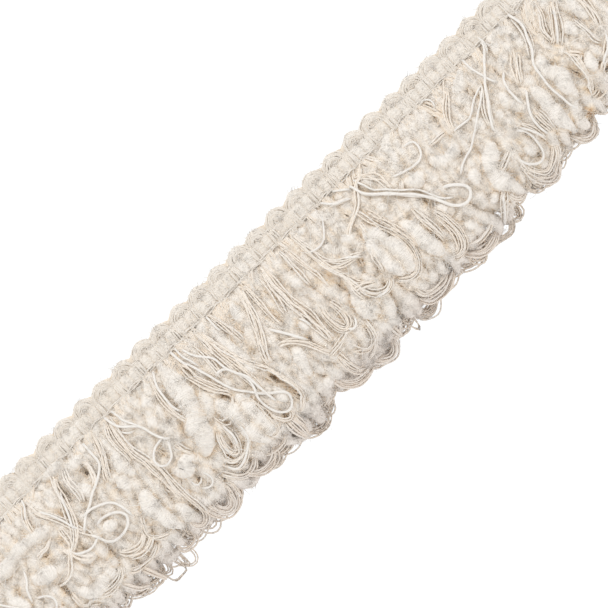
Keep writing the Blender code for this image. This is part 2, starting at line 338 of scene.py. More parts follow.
def lay_bundle(pile, laid, rng, yarns, wide, points):
    """Lays fine yarns side by side along one line, over the width of the bundle.

    The bundle is narrowest at both ends, a half of its width, and widest in the middle of its length. Under more
    than three yarns lies a core of yarns twisted together, two fifths as thick as the bundle is wide.
    """
    line = even_line(points, 1.5)
    ahead = np.gradient(line, axis=0)
    side = np.column_stack([ahead[:, 1], -ahead[:, 0]]) / np.linalg.norm(ahead, axis=1)[:, None]
    swell = (0.5 + 0.5 * np.sin(np.pi * np.linspace(0, 1, len(line))))[:, None]
    wide = 0.92 * wide
    thick = np.clip(1.5 * wide / (yarns - 1), 1.0, 1.55) * sizes().yarn_thickness / MM
    if yarns > 3:
        lay_thread(pile, laid, rng, "skein", line, 0.4 * wide, 0.1, 1.0, CORE_CAP, 1.5, 0.6)
    for place in rng.permutation(np.linspace(-0.5, 0.5, yarns)):
        off = place * wide + rng.uniform(-0.1, 0.1)
        start = int(rng.integers(0, 2)) if len(line) > 8 else 0
        points = (line + side * off * swell)[start:]
        size = thick * rng.uniform(0.85, 1.15)
        lay_thread(pile, laid, rng, "skein", points, size, 0.25, 1.0, BUNDLE_CAP, 1.0, rng.uniform(0.3, 1.0))


def lay_skein(pile, laid, rng, row, yarns, cap):
    """Lays a skein: fine yarns in one loop inside another, from the inmost outwards, which wander together.

    Each has play at its tip, and the whole skein sways, most in the middle of its length. The lower it lies, the
    fewer points are kept.
    """
    root_x, tip_x, tip_y, belly, bow = row
    play = 0.8
    place = np.arange(17.0)
    free = smooth(np.minimum(place, place[::-1]) / 4)[:, None]
    sway = play * free * np.column_stack([wander(rng, place, 9), 0.7 * wander(rng, place, 9)])
    keep = 3 if cap < 5 else 2 if cap < 11 else 1
    for part in (np.arange(yarns) + 1) / yarns:
        tip = tip_y + (1 - part) * belly * 0.45 + play * rng.uniform(-0.8, 0.8)
        points = hairpin(
            root_x + rng.uniform(-0.5, 0.5), tip_x + play * rng.uniform(-0.8, 0.8), tip,
            belly * (0.25 + 0.75 * part) * (1 + 0.2 * play * rng.uniform(-1, 1)),
            bow + play * rng.uniform(-0.8, 0.8), 0.4 + 2.2 * part,
        )
        thick = sizes().yarn_thickness / MM * rng.uniform(1.05, 1.4)
        lay_thread(pile, laid, rng, "skein", points + sway, thick, 0.3, 0.7, cap, 1.4, None, keep)


def lay_layer(pile, laid, rng, layer):
    """Lays one layer of loops side by side along the heading, in a random order.

    Roots are evenly spaced with some play. Neighbours lean alike, because the lean is a slow wave along x.
    """
    kind, count, shortest, longest, belly, bow, lean, cap, yarns = layer
    spacing = 2 * (HALF_LENGTH - 3) / count
    roots = -HALF_LENGTH + 3 + spacing * (np.arange(count) + 0.5) + rng.uniform(-0.35, 0.35, count) * spacing
    leans = lean * (0.7 * wander(rng, roots, 60) + 0.5 * rng.uniform(-1, 1, count))
    for n in rng.permutation(count):
        tip_x = np.clip(roots[n] + leans[n], -HALF_LENGTH + 5, HALF_LENGTH - 5)
        thin = any(abs(tip_x - x) < half for x, half in THIN_PLACES)
        reach = rng.uniform(shortest, longest) * (0.82 if thin else 1.0)
        tip_y = ROOT_Y + (edge_y(tip_x) - ROOT_Y) * reach
        curve = bow * rng.uniform(-1, 1)
        wide = belly * rng.uniform(0.75, 1.3)
        if kind == "chenille":
            points = hairpin(roots[n], tip_x, tip_y + 1.5, wide, curve, 2.2)
            thick = sizes().chenille_thickness / MM * rng.uniform(0.86, 1.14) * (0.72 if cap < 4 else 1.0)
            lay_chenille(pile, laid, rng, points, thick, cap)
        else:
            row = (roots[n], tip_x, tip_y, wide, curve)
            lay_skein(pile, laid, rng, row, yarns + int(rng.integers(-1, 2)), cap)


def fill_gaps(pile, laid, rng, count):
    """Pushes short lengths of chenille into the deepest gaps of the pile, along the way that the loops run.

    A gap's depth is the mean height within four millimetres round it less the mean within one.
    """
    x = pile.low[0] + pile.CELL * np.arange(pile.top.shape[0])
    y = pile.low[1] + pile.CELL * np.arange(pile.top.shape[1])
    nearest = [np.hypot((x[:, None] - h[0]) / (h[2] + 1), (y - h[1]) / (h[3] + 1)) for h in HOLLOWS]
    inside = np.min(nearest, axis=0) > 1.3
    inside &= (np.abs(x) < HALF_LENGTH - 8)[:, None] & (y < ROOT_Y - 5) & (y[None] > edge_y(x)[:, None] + 8)
    for _ in range(count):
        depth = np.where(inside, box_mean(pile.top, 10) - box_mean(pile.top, 2), -1)
        i, j = np.unravel_index(np.argmax(depth), depth.shape)
        inside[max(i - 6, 0):i + 7, max(j - 6, 0):j + 7] = False
        lean = rng.uniform(-0.4, 0.4)
        reach = rng.uniform(8, 12)
        bend = 0.03 * rng.uniform(-1, 1)
        points = [(x[i] - lean * t + bend * t * t, y[j] + t) for t in reach * np.array([1, 0.5, 0, -0.5, -1])]
        points = [point for point in points if edge_y(x[i]) + 4.5 < point[1] < ROOT_Y]
        xy = even_line(part_round(np.array(points), 1.5), 0.7)
        radius = chenille_radius(rng, xy, rng.uniform(4.2, 5.2))
        z = pile.lay(xy, radius, 2.0, 0.5, GAP_FILLER_CAP, 2.5)
        laid["chenille"].append((np.column_stack([xy, z]), radius, rng.uniform()))


def box_mean(height, n):
    """The mean of a grid of heights over a square of 2 n + 1 cells a side, by running sums."""
    total = np.pad(height, n, mode="edge")
    for axis in (0, 1):
        total = np.cumsum(np.insert(total, 0, 0, axis=axis), axis=axis)
        total = np.take(total, range(2 * n + 1, total.shape[axis]), axis) - np.take(
            total, range(total.shape[axis] - 2 * n - 1), axis
        )
    return total / (2 * n + 1) ** 2


# Fat chenille loops that lie on top, as a thickness and points of their centre lines.
TOP_CHENILLE = (
    (6.0, ((-124, 8), (-118, 8.5), (-112, 9.5), (-106, 9), (-100, 8.5), (-96, 10))),
    (6.4, ((-114, 3), (-112, 0), (-108, -1), (-105, -2))),
    (5.8, ((-107, -8), (-104, -12), (-99.5, -12.5), (-95, -10))),
    (5.0, ((-103, 19), (-106, 14.5), (-110, 13))),
    (5.2, ((-97, -9), (-95.5, -13), (-92, -13))),
    (5.5, ((-123, 3), (-121.5, -1), (-122, -6), (-119, -9))),
    (5.0, ((-93, 19), (-94.5, 13), (-91, 9))),
    (5.0, ((-101, -3), (-97, -5.8), (-93, -6))),
    (5.2, ((-116, -8), (-113, -12), (-110, -13))),
    (5.8, ((-90, -5), (-86.5, -3.8), (-83, -5.5))),
    (5.5, ((-85, 19), (-86, 11.5), (-84, 7), (-88, 4.5))),
    (5.0, ((-77.5, 19), (-77, 15), (-78.5, 11))),
    (6.2, ((-71, -2), (-73.5, -7), (-73, -12), (-71, -17))),
    (5.5, ((-70, 19), (-70.5, 10), (-71.5, 4), (-68.5, 0.5))),
    (5.0, ((-75.5, 8), (-74.5, 2), (-75.5, -3))),
    (5.5, ((-61.5, 18), (-63, 11), (-62.5, 6.5))),
    (5.5, ((-57, 13), (-56, 8), (-54, 5))),
    (5.8, ((-62, -3.5), (-59.5, -7.5), (-56, -6), (-55, -10))),
    (5.0, ((-69, -10), (-67, -14.5), (-66.5, -17))),
    (5.0, ((-84, -17.5), (-80, -19.0), (-76, -19))),
    (7.8, ((-43, 19.5), (-43.6, 13), (-44.2, 7), (-46, 1), (-49, -4), (-52, -9))),
    (5.5, ((-52, 19), (-53, 13), (-52, 8))),
    (5.0, ((-39, 8), (-40, 3), (-43, -1), (-46.5, -5))),
    (5.0, ((-33, 19), (-33, 14), (-32.5, 9))),
    (5.0, ((-24.5, 19), (-24.6, 12), (-24, 6), (-24.5, 0), (-24.3, -5))),
    (6.6, ((-37, 1), (-37.4, -4), (-37, -10), (-35.5, -17))),
    (6.4, ((-33, -1), (-33.4, -6), (-32.8, -12), (-32.3, -18))),
    (5.0, ((-25, -7), (-23.5, -11), (-22.5, -14.5))),
    (5.2, ((-52, -14), (-49, -19), (-44, -19.5))),
    (5.6, ((-14.5, 19.5), (-15.5, 14), (-17.5, 9))),
    (5.0, ((-5, 19.5), (-5.2, 14.5), (-6, 12))),
    (5.8, ((2.4, 13), (2.8, 8), (2.6, 4))),
    (5.2, ((-13, -3.5), (-11, -5.5), (-12.5, -9), (-14, -13))),
    (5.2, ((-15, -16.5), (-11, -16), (-7, -15.6))),
    (5.6, ((11, -6), (11, -10), (12.5, -15))),
    (5.4, ((10.5, 18), (14.5, 17.5), (18.5, 17))),
    (5.4, ((13.5, 11), (16.5, 8.5), (20.5, 8))),
    (5.0, ((-5, 1), (-4, -3.5), (-3.5, -7))),
    (5.0, ((4.2, -3), (4.3, -8))),
    (6.4, ((20, 8.5), (23.5, 6.5), (27, 6))),
    (5.6, ((20, 18.5), (23, 15.5), (25, 12.5))),
    (6.4, ((27, 6), (26.4, 0), (26.6, -6), (28.4, -13))),
    (6.6, ((30.4, 5), (30.8, -1), (30.8, -7), (29.6, -14))),
    (6.2, ((37.5, 1), (37.8, -5), (38.8, -11), (39.2, -15))),
    (5.8, ((34.5, 9), (37, 5), (39.5, 3))),
    (4.6, ((44.5, 17.3), (47.3, 18), (49.6, 15.8), (48.6, 13.2), (45.6, 13), (44.2, 15))),
    (6.0, ((45.5, 9), (48, 5), (52, 5.5), (54, 8))),
    (5.6, ((52, 17), (54, 13), (52.5, 10))),
    (5.2, ((46, -3.5), (48.5, -6.5), (47, -9.5))),
    (5.8, ((48.5, -12), (51.5, -14), (54, -15.5))),
    (5.6, ((28, -16.5), (31.5, -17.8), (34.5, -17))),
    (4.8, ((57.8, 9), (57, 5.5), (59.5, 2.8), (63, 3), (65, 5.8), (63.5, 8.5))),
    (5.6, ((58, 19), (61, 16.5), (63, 13))),
    (5.8, ((66, -4), (62, -6.5), (60, -10.5))),
    (6.2, ((73, -1), (69, -5), (66.5, -10), (69, -17))),
    (5.2, ((78, -8.5), (78.8, -12), (77.5, -14))),
    (5.4, ((83, 19.5), (78.5, 16), (74, 13), (71, 11))),
    (5.2, ((79.5, 5), (80, 0), (79, -3))),
    (5.2, ((84.5, 8), (84, 3), (82, -0.5))),
    (5.2, ((73, 8), (74, 3), (73.5, -1))),
    (5.2, ((58, -13.5), (62, -13), (65, -12))),
    (5.6, ((96.5, 19.5), (93, 15), (90.5, 11))),
    (5.8, ((100.5, 7), (99.5, 2.5), (100.5, -2), (99.5, -7), (101, -11))),
    (5.8, ((110.5, 8.5), (113, 4), (111, 0))),
    (5.4, ((112, -2.5), (110, -6), (108.5, -10))),
    (5.6, ((118.8, 14), (118.5, 6), (118, 0))),
    (5.6, ((92, 2), (92.5, -4), (91.5, -10), (93, -15))),
    (5.2, ((95, -12), (97, -16))),
    (5.2, ((105, 19), (108, 16))),
)

# Bundles of fine yarn that lie on top: yarns, width, and points of their middle line.
TOP_BUNDLES = (
    (3, 1.6, ((-100, 19.5), (-103, 15), (-104, 11.5), (-104.6, 8))),
    (4, 2.0, ((-99.5, 19), (-98.8, 14), (-96.8, 10.5), (-94.8, 6.5), (-93.6, 3), (-92, -1), (-91, -4))),
    (4, 2.4, ((-88.5, 19), (-90, 14), (-91.5, 10), (-92.7, 6.5), (-94.3, 3), (-97, 0.5), (-100, -1),
         (-103, -1))),
    (2, 1.0, ((-101.5, 3), (-100, -1), (-98.6, -4.5), (-96.5, -6.5), (-94, -7.5))),
    (2, 0.8, ((-111, -5), (-109, -5.6), (-106, -6), (-103.5, -5), (-102, -3), (-100, -0.5), (-98.5, 2))),
    (3, 1.4, ((-97.3, 8), (-97.6, 5), (-98.2, 1), (-99, -2))),
    (2, 0.9, ((-100, 7), (-101.5, 6), (-104, 5), (-107, 4.6), (-110, 4.2))),
    (4, 2.0, ((-105, -14), (-102.5, -16), (-99, -17), (-95.5, -16.8), (-93, -15), (-92, -12))),
    (2, 1.0, ((-96.5, -17), (-95, -20.5), (-93.3, -23.2), (-91, -24.5))),
    (2, 1.0, ((-108.3, -8), (-108.5, -12), (-108.2, -16))),
    (3, 1.6, ((-110, -13), (-107.5, -16.2), (-105.8, -15.8), (-104.7, -17), (-103, -18.5))),
    (4, 2.2, ((-71, 19.5), (-72.3, 15.5), (-74, 11.5), (-76.5, 7.5), (-78, 4))),
    (3, 1.6, ((-66.3, 19), (-67.8, 15), (-68.5, 10.5), (-68.2, 6.5), (-69, 3))),
    (5, 2.4, ((-64.8, 19), (-65.8, 13), (-66.2, 7), (-65.2, 2), (-65, -4), (-65.5, -10), (-65.2, -15))),
    (3, 1.5, ((-64, 4), (-63.8, -4), (-64.1, -12), (-63.5, -18), (-64, -21.5), (-66.5, -23), (-68.8, -21.5),
         (-69, -18))),
    (2, 0.7, ((-66.5, -5), (-66.4, -8), (-66.2, -11.5))),
    (3, 1.4, ((-76, -6.5), (-78, -9), (-80, -12), (-80.3, -14.5), (-78.3, -16.6), (-75.5, -17.4),
         (-73, -17))),
    (3, 1.6, ((-91, -9), (-88.5, -12.5), (-85, -13.9), (-82, -13.2), (-79.5, -11))),
    (3, 1.4, ((-91.5, -12), (-88, -14.8), (-84.5, -15.9), (-81, -15.2), (-78, -13))),
    (3, 1.5, ((-93, -14), (-91, -17.5), (-87, -19), (-82, -18.2), (-79, -16))),
    (2, 1.0, ((-89, -18), (-87.2, -23), (-86, -26.5))),
    (5, 3.0, ((-62.5, -18), (-62.3, -22), (-60.5, -25), (-57.5, -26), (-54.5, -24.5), (-53.2, -21),
         (-54, -17))),
    (4, 2.4, ((-60, -19), (-60.5, -22), (-59.2, -24.5), (-57, -24.8), (-55.4, -23), (-56, -20))),
    (3, 1.5, ((-55.5, 2), (-55.2, -2), (-54, -5), (-52.5, -7))),
    (3, 2.0, ((-84, 19), (-86, 14), (-86.5, 9), (-88, 5))),
    (2, 1.0, ((-79, 18), (-79.2, 13), (-80, 9.5), (-82.5, 6))),
    (3, 1.2, ((-48, 19), (-49.3, 12), (-49.5, 6), (-48.6, 2), (-47.5, 0))),
    (5, 2.6, ((-38.6, 17), (-38.6, 12), (-37.8, 7.5), (-36.2, 3.5), (-34.8, 0.5), (-33, -3))),
    (6, 3.4, ((-28.5, 19.5), (-28, 14), (-27.6, 8), (-27, 2), (-26.6, -4), (-26.8, -9))),
    (3, 1.4, ((-27.5, 17), (-26, 9), (-24, 2.5), (-21.5, -3), (-19.6, -8), (-18.8, -13), (-19.8, -17),
         (-22, -19), (-25, -18.5))),
    (4, 2.0, ((-22.3, 20), (-21.3, 15), (-20.6, 10), (-20.8, 5))),
    (5, 2.2, ((-42.2, -4), (-41.8, -8.5), (-42.6, -12.3), (-44.5, -15), (-46.2, -14), (-46, -10.5),
         (-44.6, -7), (-43, -5))),
    (3, 1.2, ((-39.2, -4.5), (-38.2, -8), (-38.6, -12), (-41, -15.3), (-44, -16.7), (-47, -16.2),
         (-48.6, -14), (-48, -11))),
    (3, 1.3, ((-50.3, -12), (-49.8, -15.3), (-47.6, -18), (-44.5, -17.9), (-42, -16), (-40.5, -13))),
    (2, 0.8, ((-41, 0), (-41.8, -3), (-40.5, -6.3), (-38.5, -6), (-36.5, -4.8), (-34.5, -2.5), (-33, -0.5))),
    (2, 0.8, ((-37.5, -7), (-35.5, -6), (-33, -5.1), (-31, -6.5), (-30.4, -10), (-30.3, -15), (-31.5, -18.4),
         (-34, -18.6), (-35.6, -17))),
    (3, 1.2, ((-40.5, -19.5), (-38.5, -21.9), (-35, -22.9), (-32, -22.2), (-29.8, -19.5))),
    (2, 0.9, ((-29.8, -10), (-29.3, -15.5), (-27.3, -18.7), (-25.3, -17.8), (-24.8, -15))),
    (5, 3.6, ((-27.4, -17), (-27.2, -21.5), (-26.8, -26))),
    (3, 1.2, ((-25, -17), (-25.2, -21), (-24.8, -25))),
    (4, 1.8, ((-32, 17), (-31.5, 12), (-31.8, 7), (-32.5, 2))),
    (4, 1.8, ((-53, -14), (-50.5, -19), (-47, -21.5), (-43.5, -21), (-41.5, -18))),
    (4, 2.2, ((-48, -19), (-45.5, -23), (-41.5, -24.5), (-37.5, -23.5), (-35.5, -20))),
    (5, 2.6, ((-10.3, 19.5), (-12, 14), (-14.2, 8), (-16.8, 3), (-18.8, -1), (-20, -5))),
    (3, 1.3, ((-9, 20), (-9, 13), (-9.1, 7), (-9.3, 1))),
    (4, 1.6, ((-16.5, -2), (-13.5, -1.2), (-10.3, -2.6), (-8, -5.5), (-6.5, -9), (-5, -12.3), (-3, -15))),
    (3, 1.2, ((-3.6, 19), (-4, 13), (-5.4, 6.5), (-6.2, 2))),
    (5, 3.4, ((-1.5, 19), (-2.2, 12), (-2.2, 5), (-1.6, -2), (-1.5, -8), (-1.3, -13))),
    (3, 1.3, ((-7.5, -13.5), (-4, -13.4), (0, -13), (3, -12), (5, -9.5))),
    (5, 2.4, ((3.8, 1), (2.4, -2.5), (2, -7), (3, -11), (5, -11.5), (6.3, -8.5), (6.2, -4), (4.8, -0.5))),
    (3, 1.2, ((0.8, -13), (1.6, -17.5), (4, -20.6), (7, -19.7), (8.4, -16.5), (8.3, -13))),
    (2, 0.8, ((9.5, -12), (9, -17), (7, -20.5), (3.5, -22.4), (0.5, -22))),
    (5, 2.6, ((-3.5, -13), (-3.6, -19), (-2.4, -22.8), (0.5, -24.8))),
    (5, 2.6, ((-9.8, -18), (-8.6, -22), (-5.5, -25), (-1.5, -25.6), (2, -24.6))),
    (2, 0.9, ((5.6, 20), (5.9, 14), (5.5, 8), (5.2, 3))),
    (3, 1.3, ((7.2, 19), (8, 13), (8.6, 8), (9.1, 3), (8.8, -1))),
    (5, 2.4, ((11.5, 19), (12, 13), (12.7, 8), (14.6, 4.5), (17.5, 2.5), (21, 1.3), (23.5, -1))),
    (4, 2.2, ((11.6, 10), (12.6, 4), (13.8, -1), (15.6, -5), (18.5, -7.5), (21.5, -8))),
    (4, 2.4, ((13.3, 1), (14, -5), (14.2, -11))),
    (2, 0.8, ((11.5, -4.8), (14.5, -5.4), (17.5, -6.8), (20.5, -9))),
    (4, 2.2, ((14, -4), (16.5, -9.5), (19.5, -11.8), (22.5, -11), (23.8, -8))),
    (5, 2.6, ((2.3, -22), (4.2, -25.5), (7.2, -27), (10, -25.8), (11.6, -22.5))),
    (2, 1.0, ((13.5, -19), (13.7, -24.5))),
    (4, 1.9, ((30, 13), (30.7, 8), (32, 3), (33.7, -2), (34.4, -7), (33.5, -11), (31, -14), (28, -14.4),
         (25, -12.6), (23.5, -10))),
    (3, 1.2, ((32, 12), (33, 6), (34.8, 0), (35.8, -6), (35.2, -11))),
    (3, 1.2, ((28.6, 9), (28, 4), (27.6, -1))),
    (2, 0.9, ((27, 2.5), (24.8, -1), (23.6, -4.5), (23, -9))),
    (2, 1.0, ((41, 20), (38, 17.4), (35, 15.5), (32, 12.5), (28.5, 10.3), (25, 8.6), (22, 6))),
    (3, 1.5, ((36.5, 18), (39.6, 16.3), (41.6, 13.3), (42, 9), (42.6, 6))),
    (2, 0.9, ((24, 20), (26.5, 17.4), (30, 15.8), (33.4, 13.8))),
    (5, 2.2, ((26, -16), (27, -20.2), (30, -21.9), (33.5, -21.9), (37.4, -20.4))),
    (4, 1.8, ((24.5, -18), (26.5, -22.8), (30.5, -24.2), (35, -23.4), (38.5, -21.2))),
    (6, 3.6, ((45.5, -3), (46.8, -9), (46.9, -14), (45.2, -18.2), (42.3, -19.3), (40, -17.5))),
    (4, 2.2, ((42.2, 2), (42.5, -5), (42.8, -10), (42.6, -15))),
    (3, 1.2, ((47.5, 9.5), (44.5, 6.3), (42.2, 4.2))),
    (2, 0.9, ((45, 11), (43.2, 9), (42.4, 6.5))),
    (5, 3.0, ((44, -20), (47.5, -23.5), (52, -23.8), (56, -22))),
    (2, 1.0, ((46, -19), (49.5, -21), (54, -20.6), (57, -18.5))),
    (2, 0.8, ((56.5, 10), (60, 9.3), (64, 9.2), (67, 8.5))),
    (3, 1.6, ((76, 20), (73, 16.5), (70, 13.5), (67.5, 10), (67, 5))),
    (4, 2.6, ((84, 13.5), (81, 9), (78.5, 5.5), (76.5, 2), (75.3, -1.5))),
    (6, 3.4, ((74, -12), (74.8, -17.5), (77.3, -21), (80.5, -20.8), (83.8, -18.4), (86, -15))),
    (4, 2.0, ((73.6, -16), (75, -21), (78, -23.6), (81.3, -22), (83, -19.5))),
    (5, 3.0, ((87.8, -2), (87.8, -8), (88, -15))),
    (2, 0.8, ((74.3, -8), (74.1, -13), (74, -18))),
    (4, 2.2, ((66.5, -14.5), (63.5, -17), (61, -20), (58.5, -22.3))),
    (3, 1.4, ((81, -3), (83.2, -7), (84.2, -11), (85.2, -15))),
    (3, 1.6, ((66, -11), (72, -9), (76, -7))),
    (3, 1.4, ((65, -15), (65.6, -19), (67.5, -20.8), (70, -20))),
    (4, 2.2, ((103, 20.5), (103.2, 16), (102, 12), (100, 8.5), (97.5, 5))),
    (4, 2.0, ((111, 18), (109, 13.5), (107, 10.5), (106.4, 7), (106.5, 3.5))),
    (6, 3.6, ((116, 16), (113.2, 12.2), (110.3, 8.5), (107.5, 5), (105, 2.5))),
    (4, 2.0, ((106, 4), (107.2, 0), (107, -4.5), (105.8, -8.5), (104.6, -11.5), (102.8, -14.5))),
    (2, 0.9, ((105.5, 1.5), (108, -1.5), (110.5, -4.5))),
    (2, 0.9, ((111, -2), (108.5, -3.3), (106, -5))),
    (3, 1.6, ((115, 8), (115.4, 1), (115.6, -3), (117.5, -6))),
    (3, 1.6, ((120.5, -3), (116, -7), (112.5, -9.5), (109.5, -12))),
    (4, 2.8, ((98, 13.5), (95, 9.8), (92, 6), (89.5, 1.5))),
    (4, 2.2, ((119.5, 14), (121, 8), (120, 2), (118.5, -3))),
    (4, 2.4, ((90.5, -17), (93, -21.5), (96.5, -21.8), (99.5, -18.5))),
)

# Smooth cotton cords on top of all, as a thickness and points of their centre lines.
TOP_CORDS = (
    (1.2, ((-75.3, 19), (-75.3, 14.5), (-76, 11.5), (-79.5, 8.6), (-83, 6.8), (-86, 4.6), (-90, 3.2),
         (-94, -1))),
    (1.2, ((-92, 3.4), (-90, 3.8), (-86.5, 3.7), (-83.5, 2.3), (-81, 0.3), (-79.6, -2), (-79.2, -5),
         (-79.8, -8))),
    (1.3, ((-90.5, -2), (-89, -1), (-86, -0.7), (-83, -1.5), (-81.3, -3), (-80.6, -5), (-82, -7.2),
         (-85, -8.3), (-88, -7.8), (-90.3, -6), (-91.3, -3), (-93, 0))),
    (1.1, ((-100.5, 0), (-99.5, -1.8), (-98, -3.3), (-95, -4.3), (-92, -3.8), (-89.5, -2.8))),
    (1.0, ((-99.3, 15.8), (-97.5, 12.5), (-96, 9), (-94.6, 6), (-93.6, 3), (-92.3, 0))),
    (1.0, ((-89.5, 15), (-91.5, 10), (-92.7, 7), (-94.2, 4), (-95.5, 1.2))),
    (1.1, ((-113, 6.5), (-114, 4), (-115, 2), (-116.5, 0.2), (-118, -2.8), (-119.2, -5.5))),
    (1.1, ((-118, -2.5), (-117, -3.3), (-114.5, -4.8), (-113, -6.5), (-113, -8.5), (-114.5, -9.9),
         (-117, -10))),
    (0.9, ((-104.5, 13), (-102.5, 15.5), (-100.6, 18), (-100, 20))),
    (1.2, ((-65.5, 20), (-64.8, 17.5), (-63.5, 15), (-61.5, 12.5), (-59.6, 10), (-58.5, 7), (-57, 4),
         (-55.8, 2.5), (-53.5, 1.8))),
    (1.0, ((-62.7, 20), (-61.7, 16), (-60.4, 12.7), (-59.4, 9.5), (-58.4, 7.5))),
    (0.9, ((-65.4, 15.5), (-64.2, 12.6), (-62.5, 11.5), (-60, 10.6))),
    (1.1, ((-56, 2.8), (-57, 3.6), (-59, 3.6), (-62, 2.5), (-63.7, 0.5), (-63.3, -1.5), (-61.3, -2.8),
         (-59, -2.2), (-57.7, 0), (-56.8, 2), (-56.9, 4))),
    (0.9, ((-60, -9.5), (-59.9, -12.4), (-58.6, -13.3), (-57, -12.2), (-56.9, -10.5))),
    (1.0, ((-57.5, -10.5), (-55.6, -12.4), (-55.5, -15), (-57, -16.4), (-59, -15.2), (-60.4, -13.2))),
    (1.1, ((-45.8, 19.5), (-47.5, 15.8), (-48.6, 12.5), (-48.8, 9), (-48, 6), (-46.8, 3.6))),
    (1.2, ((-38, 20), (-37.6, 15.6), (-36, 12.4), (-35, 8.5), (-34.5, 5), (-33.4, 2), (-31, -2.5),
         (-28.3, -6.2), (-25, -9.3), (-22.4, -11.9), (-21.8, -13.6), (-22.8, -15.6), (-25, -16.5),
         (-27.4, -15), (-28.8, -12), (-28.9, -8.5), (-27.9, -5), (-27.3, -1), (-28.3, 2.3), (-29.4, 4.6),
         (-31, 5.7), (-33, 5.8), (-34.6, 4.4))),
    (1.0, ((-36.4, 20), (-36.2, 16), (-35.3, 12.5), (-34.6, 9))),
    (1.1, ((-35, 18), (-34, 15.4), (-32, 12.3), (-30.5, 10), (-29.9, 7), (-29.2, 4.5), (-28, 1.8),
         (-26.9, -1), (-26.4, -5.5), (-26.2, -9.5), (-25.4, -14))),
    (1.0, ((-23.2, 20), (-23.1, 16), (-22.8, 12))),
    (1.1, ((-42, -4), (-41.8, -8.5), (-42.5, -12), (-44.2, -14.8))),
    (1.1, ((-46.2, -9), (-46.3, -13), (-45.8, -15))),
    (1.1, ((-50, -13.5), (-49.5, -16), (-47.4, -18.1), (-44.5, -17.7), (-42, -16.2), (-39.6, -14),
         (-38.4, -11), (-38.3, -7.5))),
    (1.3, ((-13.5, 6), (-12.3, 4), (-10.5, 1), (-8.5, -2), (-7.2, -4.6), (-6.4, -7))),
    (1.1, ((-4.8, 2), (-3.9, 0), (-3.1, -2.5), (-2.6, -5.5))),
    (1.1, ((3.6, -9.5), (4, -11.6), (5.2, -13.1), (6.6, -12.9), (7.8, -11), (8.1, -8.5))),
    (1.5, ((35, 16), (34.6, 14.5), (36.7, 11.5), (40.2, 8), (43.7, 4.2), (46.7, 1), (48.6, -2), (49.6, -4.6),
         (51.2, -7.6), (54.5, -9.9), (57, -9.3), (58, -7), (56.8, -4.6), (54, -2.6), (51, -1.8))),
    (1.2, ((34, 17.5), (35.8, 12.6), (39, 9.4), (42.6, 5.4), (45.8, 2), (48, -1), (49.2, -4))),
    (1.0, ((36, 18), (37.8, 12.6), (41, 9.2), (44.4, 5.4), (47.6, 2), (49.5, -1.2), (50.6, -4.2), (53, -6),
         (55, -6))),
    (1.1, ((29.5, 20), (31.5, 18.4), (33.3, 16.8), (34, 14.8))),
    (1.1, ((24.5, 20), (27, 17), (30, 15.8), (33.2, 13.6))),
    (1.1, ((43, 11.5), (44.5, 10.8), (48, 9.2), (52, 8.4), (55, 9), (56.6, 11.2), (56.5, 13.4), (54.5, 14.4),
         (51.5, 14.2))),
    (1.1, ((16, 4.5), (18, 3.6), (20.5, 1.7), (22.7, -0.5))),
    (1.0, ((15, -10.5), (17, -11.3), (20, -11.9), (22.5, -10.5))),
    (1.1, ((83.9, 20.5), (83.9, 16), (84.6, 13), (85.8, 9.6), (87.6, 7))),
    (1.2, ((92, 21), (91, 18.6), (88, 15.6), (85.3, 13), (82, 9), (79.5, 5.6), (77, 2.4), (75.6, 0),
         (75.5, -3))),
    (1.2, ((91.5, 10.5), (89.5, 9), (87.5, 7), (86.6, 4.5), (86.7, 2), (86.8, -0.5), (87.7, -2.9))),
    (1.2, ((91.5, 2.5), (90, 0.5), (88.4, -1.6), (86.7, -4.5), (85.7, -8), (85.7, -11), (86.6, -14.3))),
    (1.2, ((78.5, -4), (79.7, -5.2), (81.2, -6.7), (82, -9), (82.3, -12), (81.5, -15), (79.5, -16.7),
         (77.5, -16.7), (75.7, -15), (74.7, -12.3), (74.8, -10))),
    (1.0, ((80, -4), (82.4, -7), (84, -10.5), (85, -14))),
    (1.1, ((92, 22.5), (91.9, 19.6), (90.6, 17), (89, 15.5))),
    (1.2, ((103, 20.5), (103.4, 17), (103, 14), (101.5, 11), (100, 8.2), (97.8, 5.6), (96.8, 3), (96.3, -0.5),
         (96, -4), (96, -8), (96.6, -11.6), (98.6, -14.4))),
    (1.1, ((120, -2), (116.5, -6.5), (113, -8.6), (110.5, -11))),
    (1.0, ((114.5, 14), (112, 10.6), (109.5, 7.6), (107, 4.6), (105.2, 3))),
    (0.9, ((64.5, 20.8), (67, 20.4), (68.8, 19), (68.5, 16.6), (66.5, 15))),
    (1.0, ((57.5, -3.8), (59.5, -3), (61, -2), (64, -0.5), (67, 0.6), (71, 3), (75, 5.4), (79, 8.2),
         (83, 11.6))),
    (1.0, ((64.8, 7), (66.5, 7.3), (69, 7), (72, 7), (75, 8), (78, 9.6), (81, 11), (84, 11.5))),
    (1.1, ((65.5, -14.5), (63, -17.2), (60.6, -20.2), (58.5, -22.6))),
    (0.9, ((22, 17), (18, 12), (13, 11.5), (10.5, 14))),
    (1.0, ((-127, 18), (-124, 12), (-126, 4), (-122, -2), (-119, -8))),
)

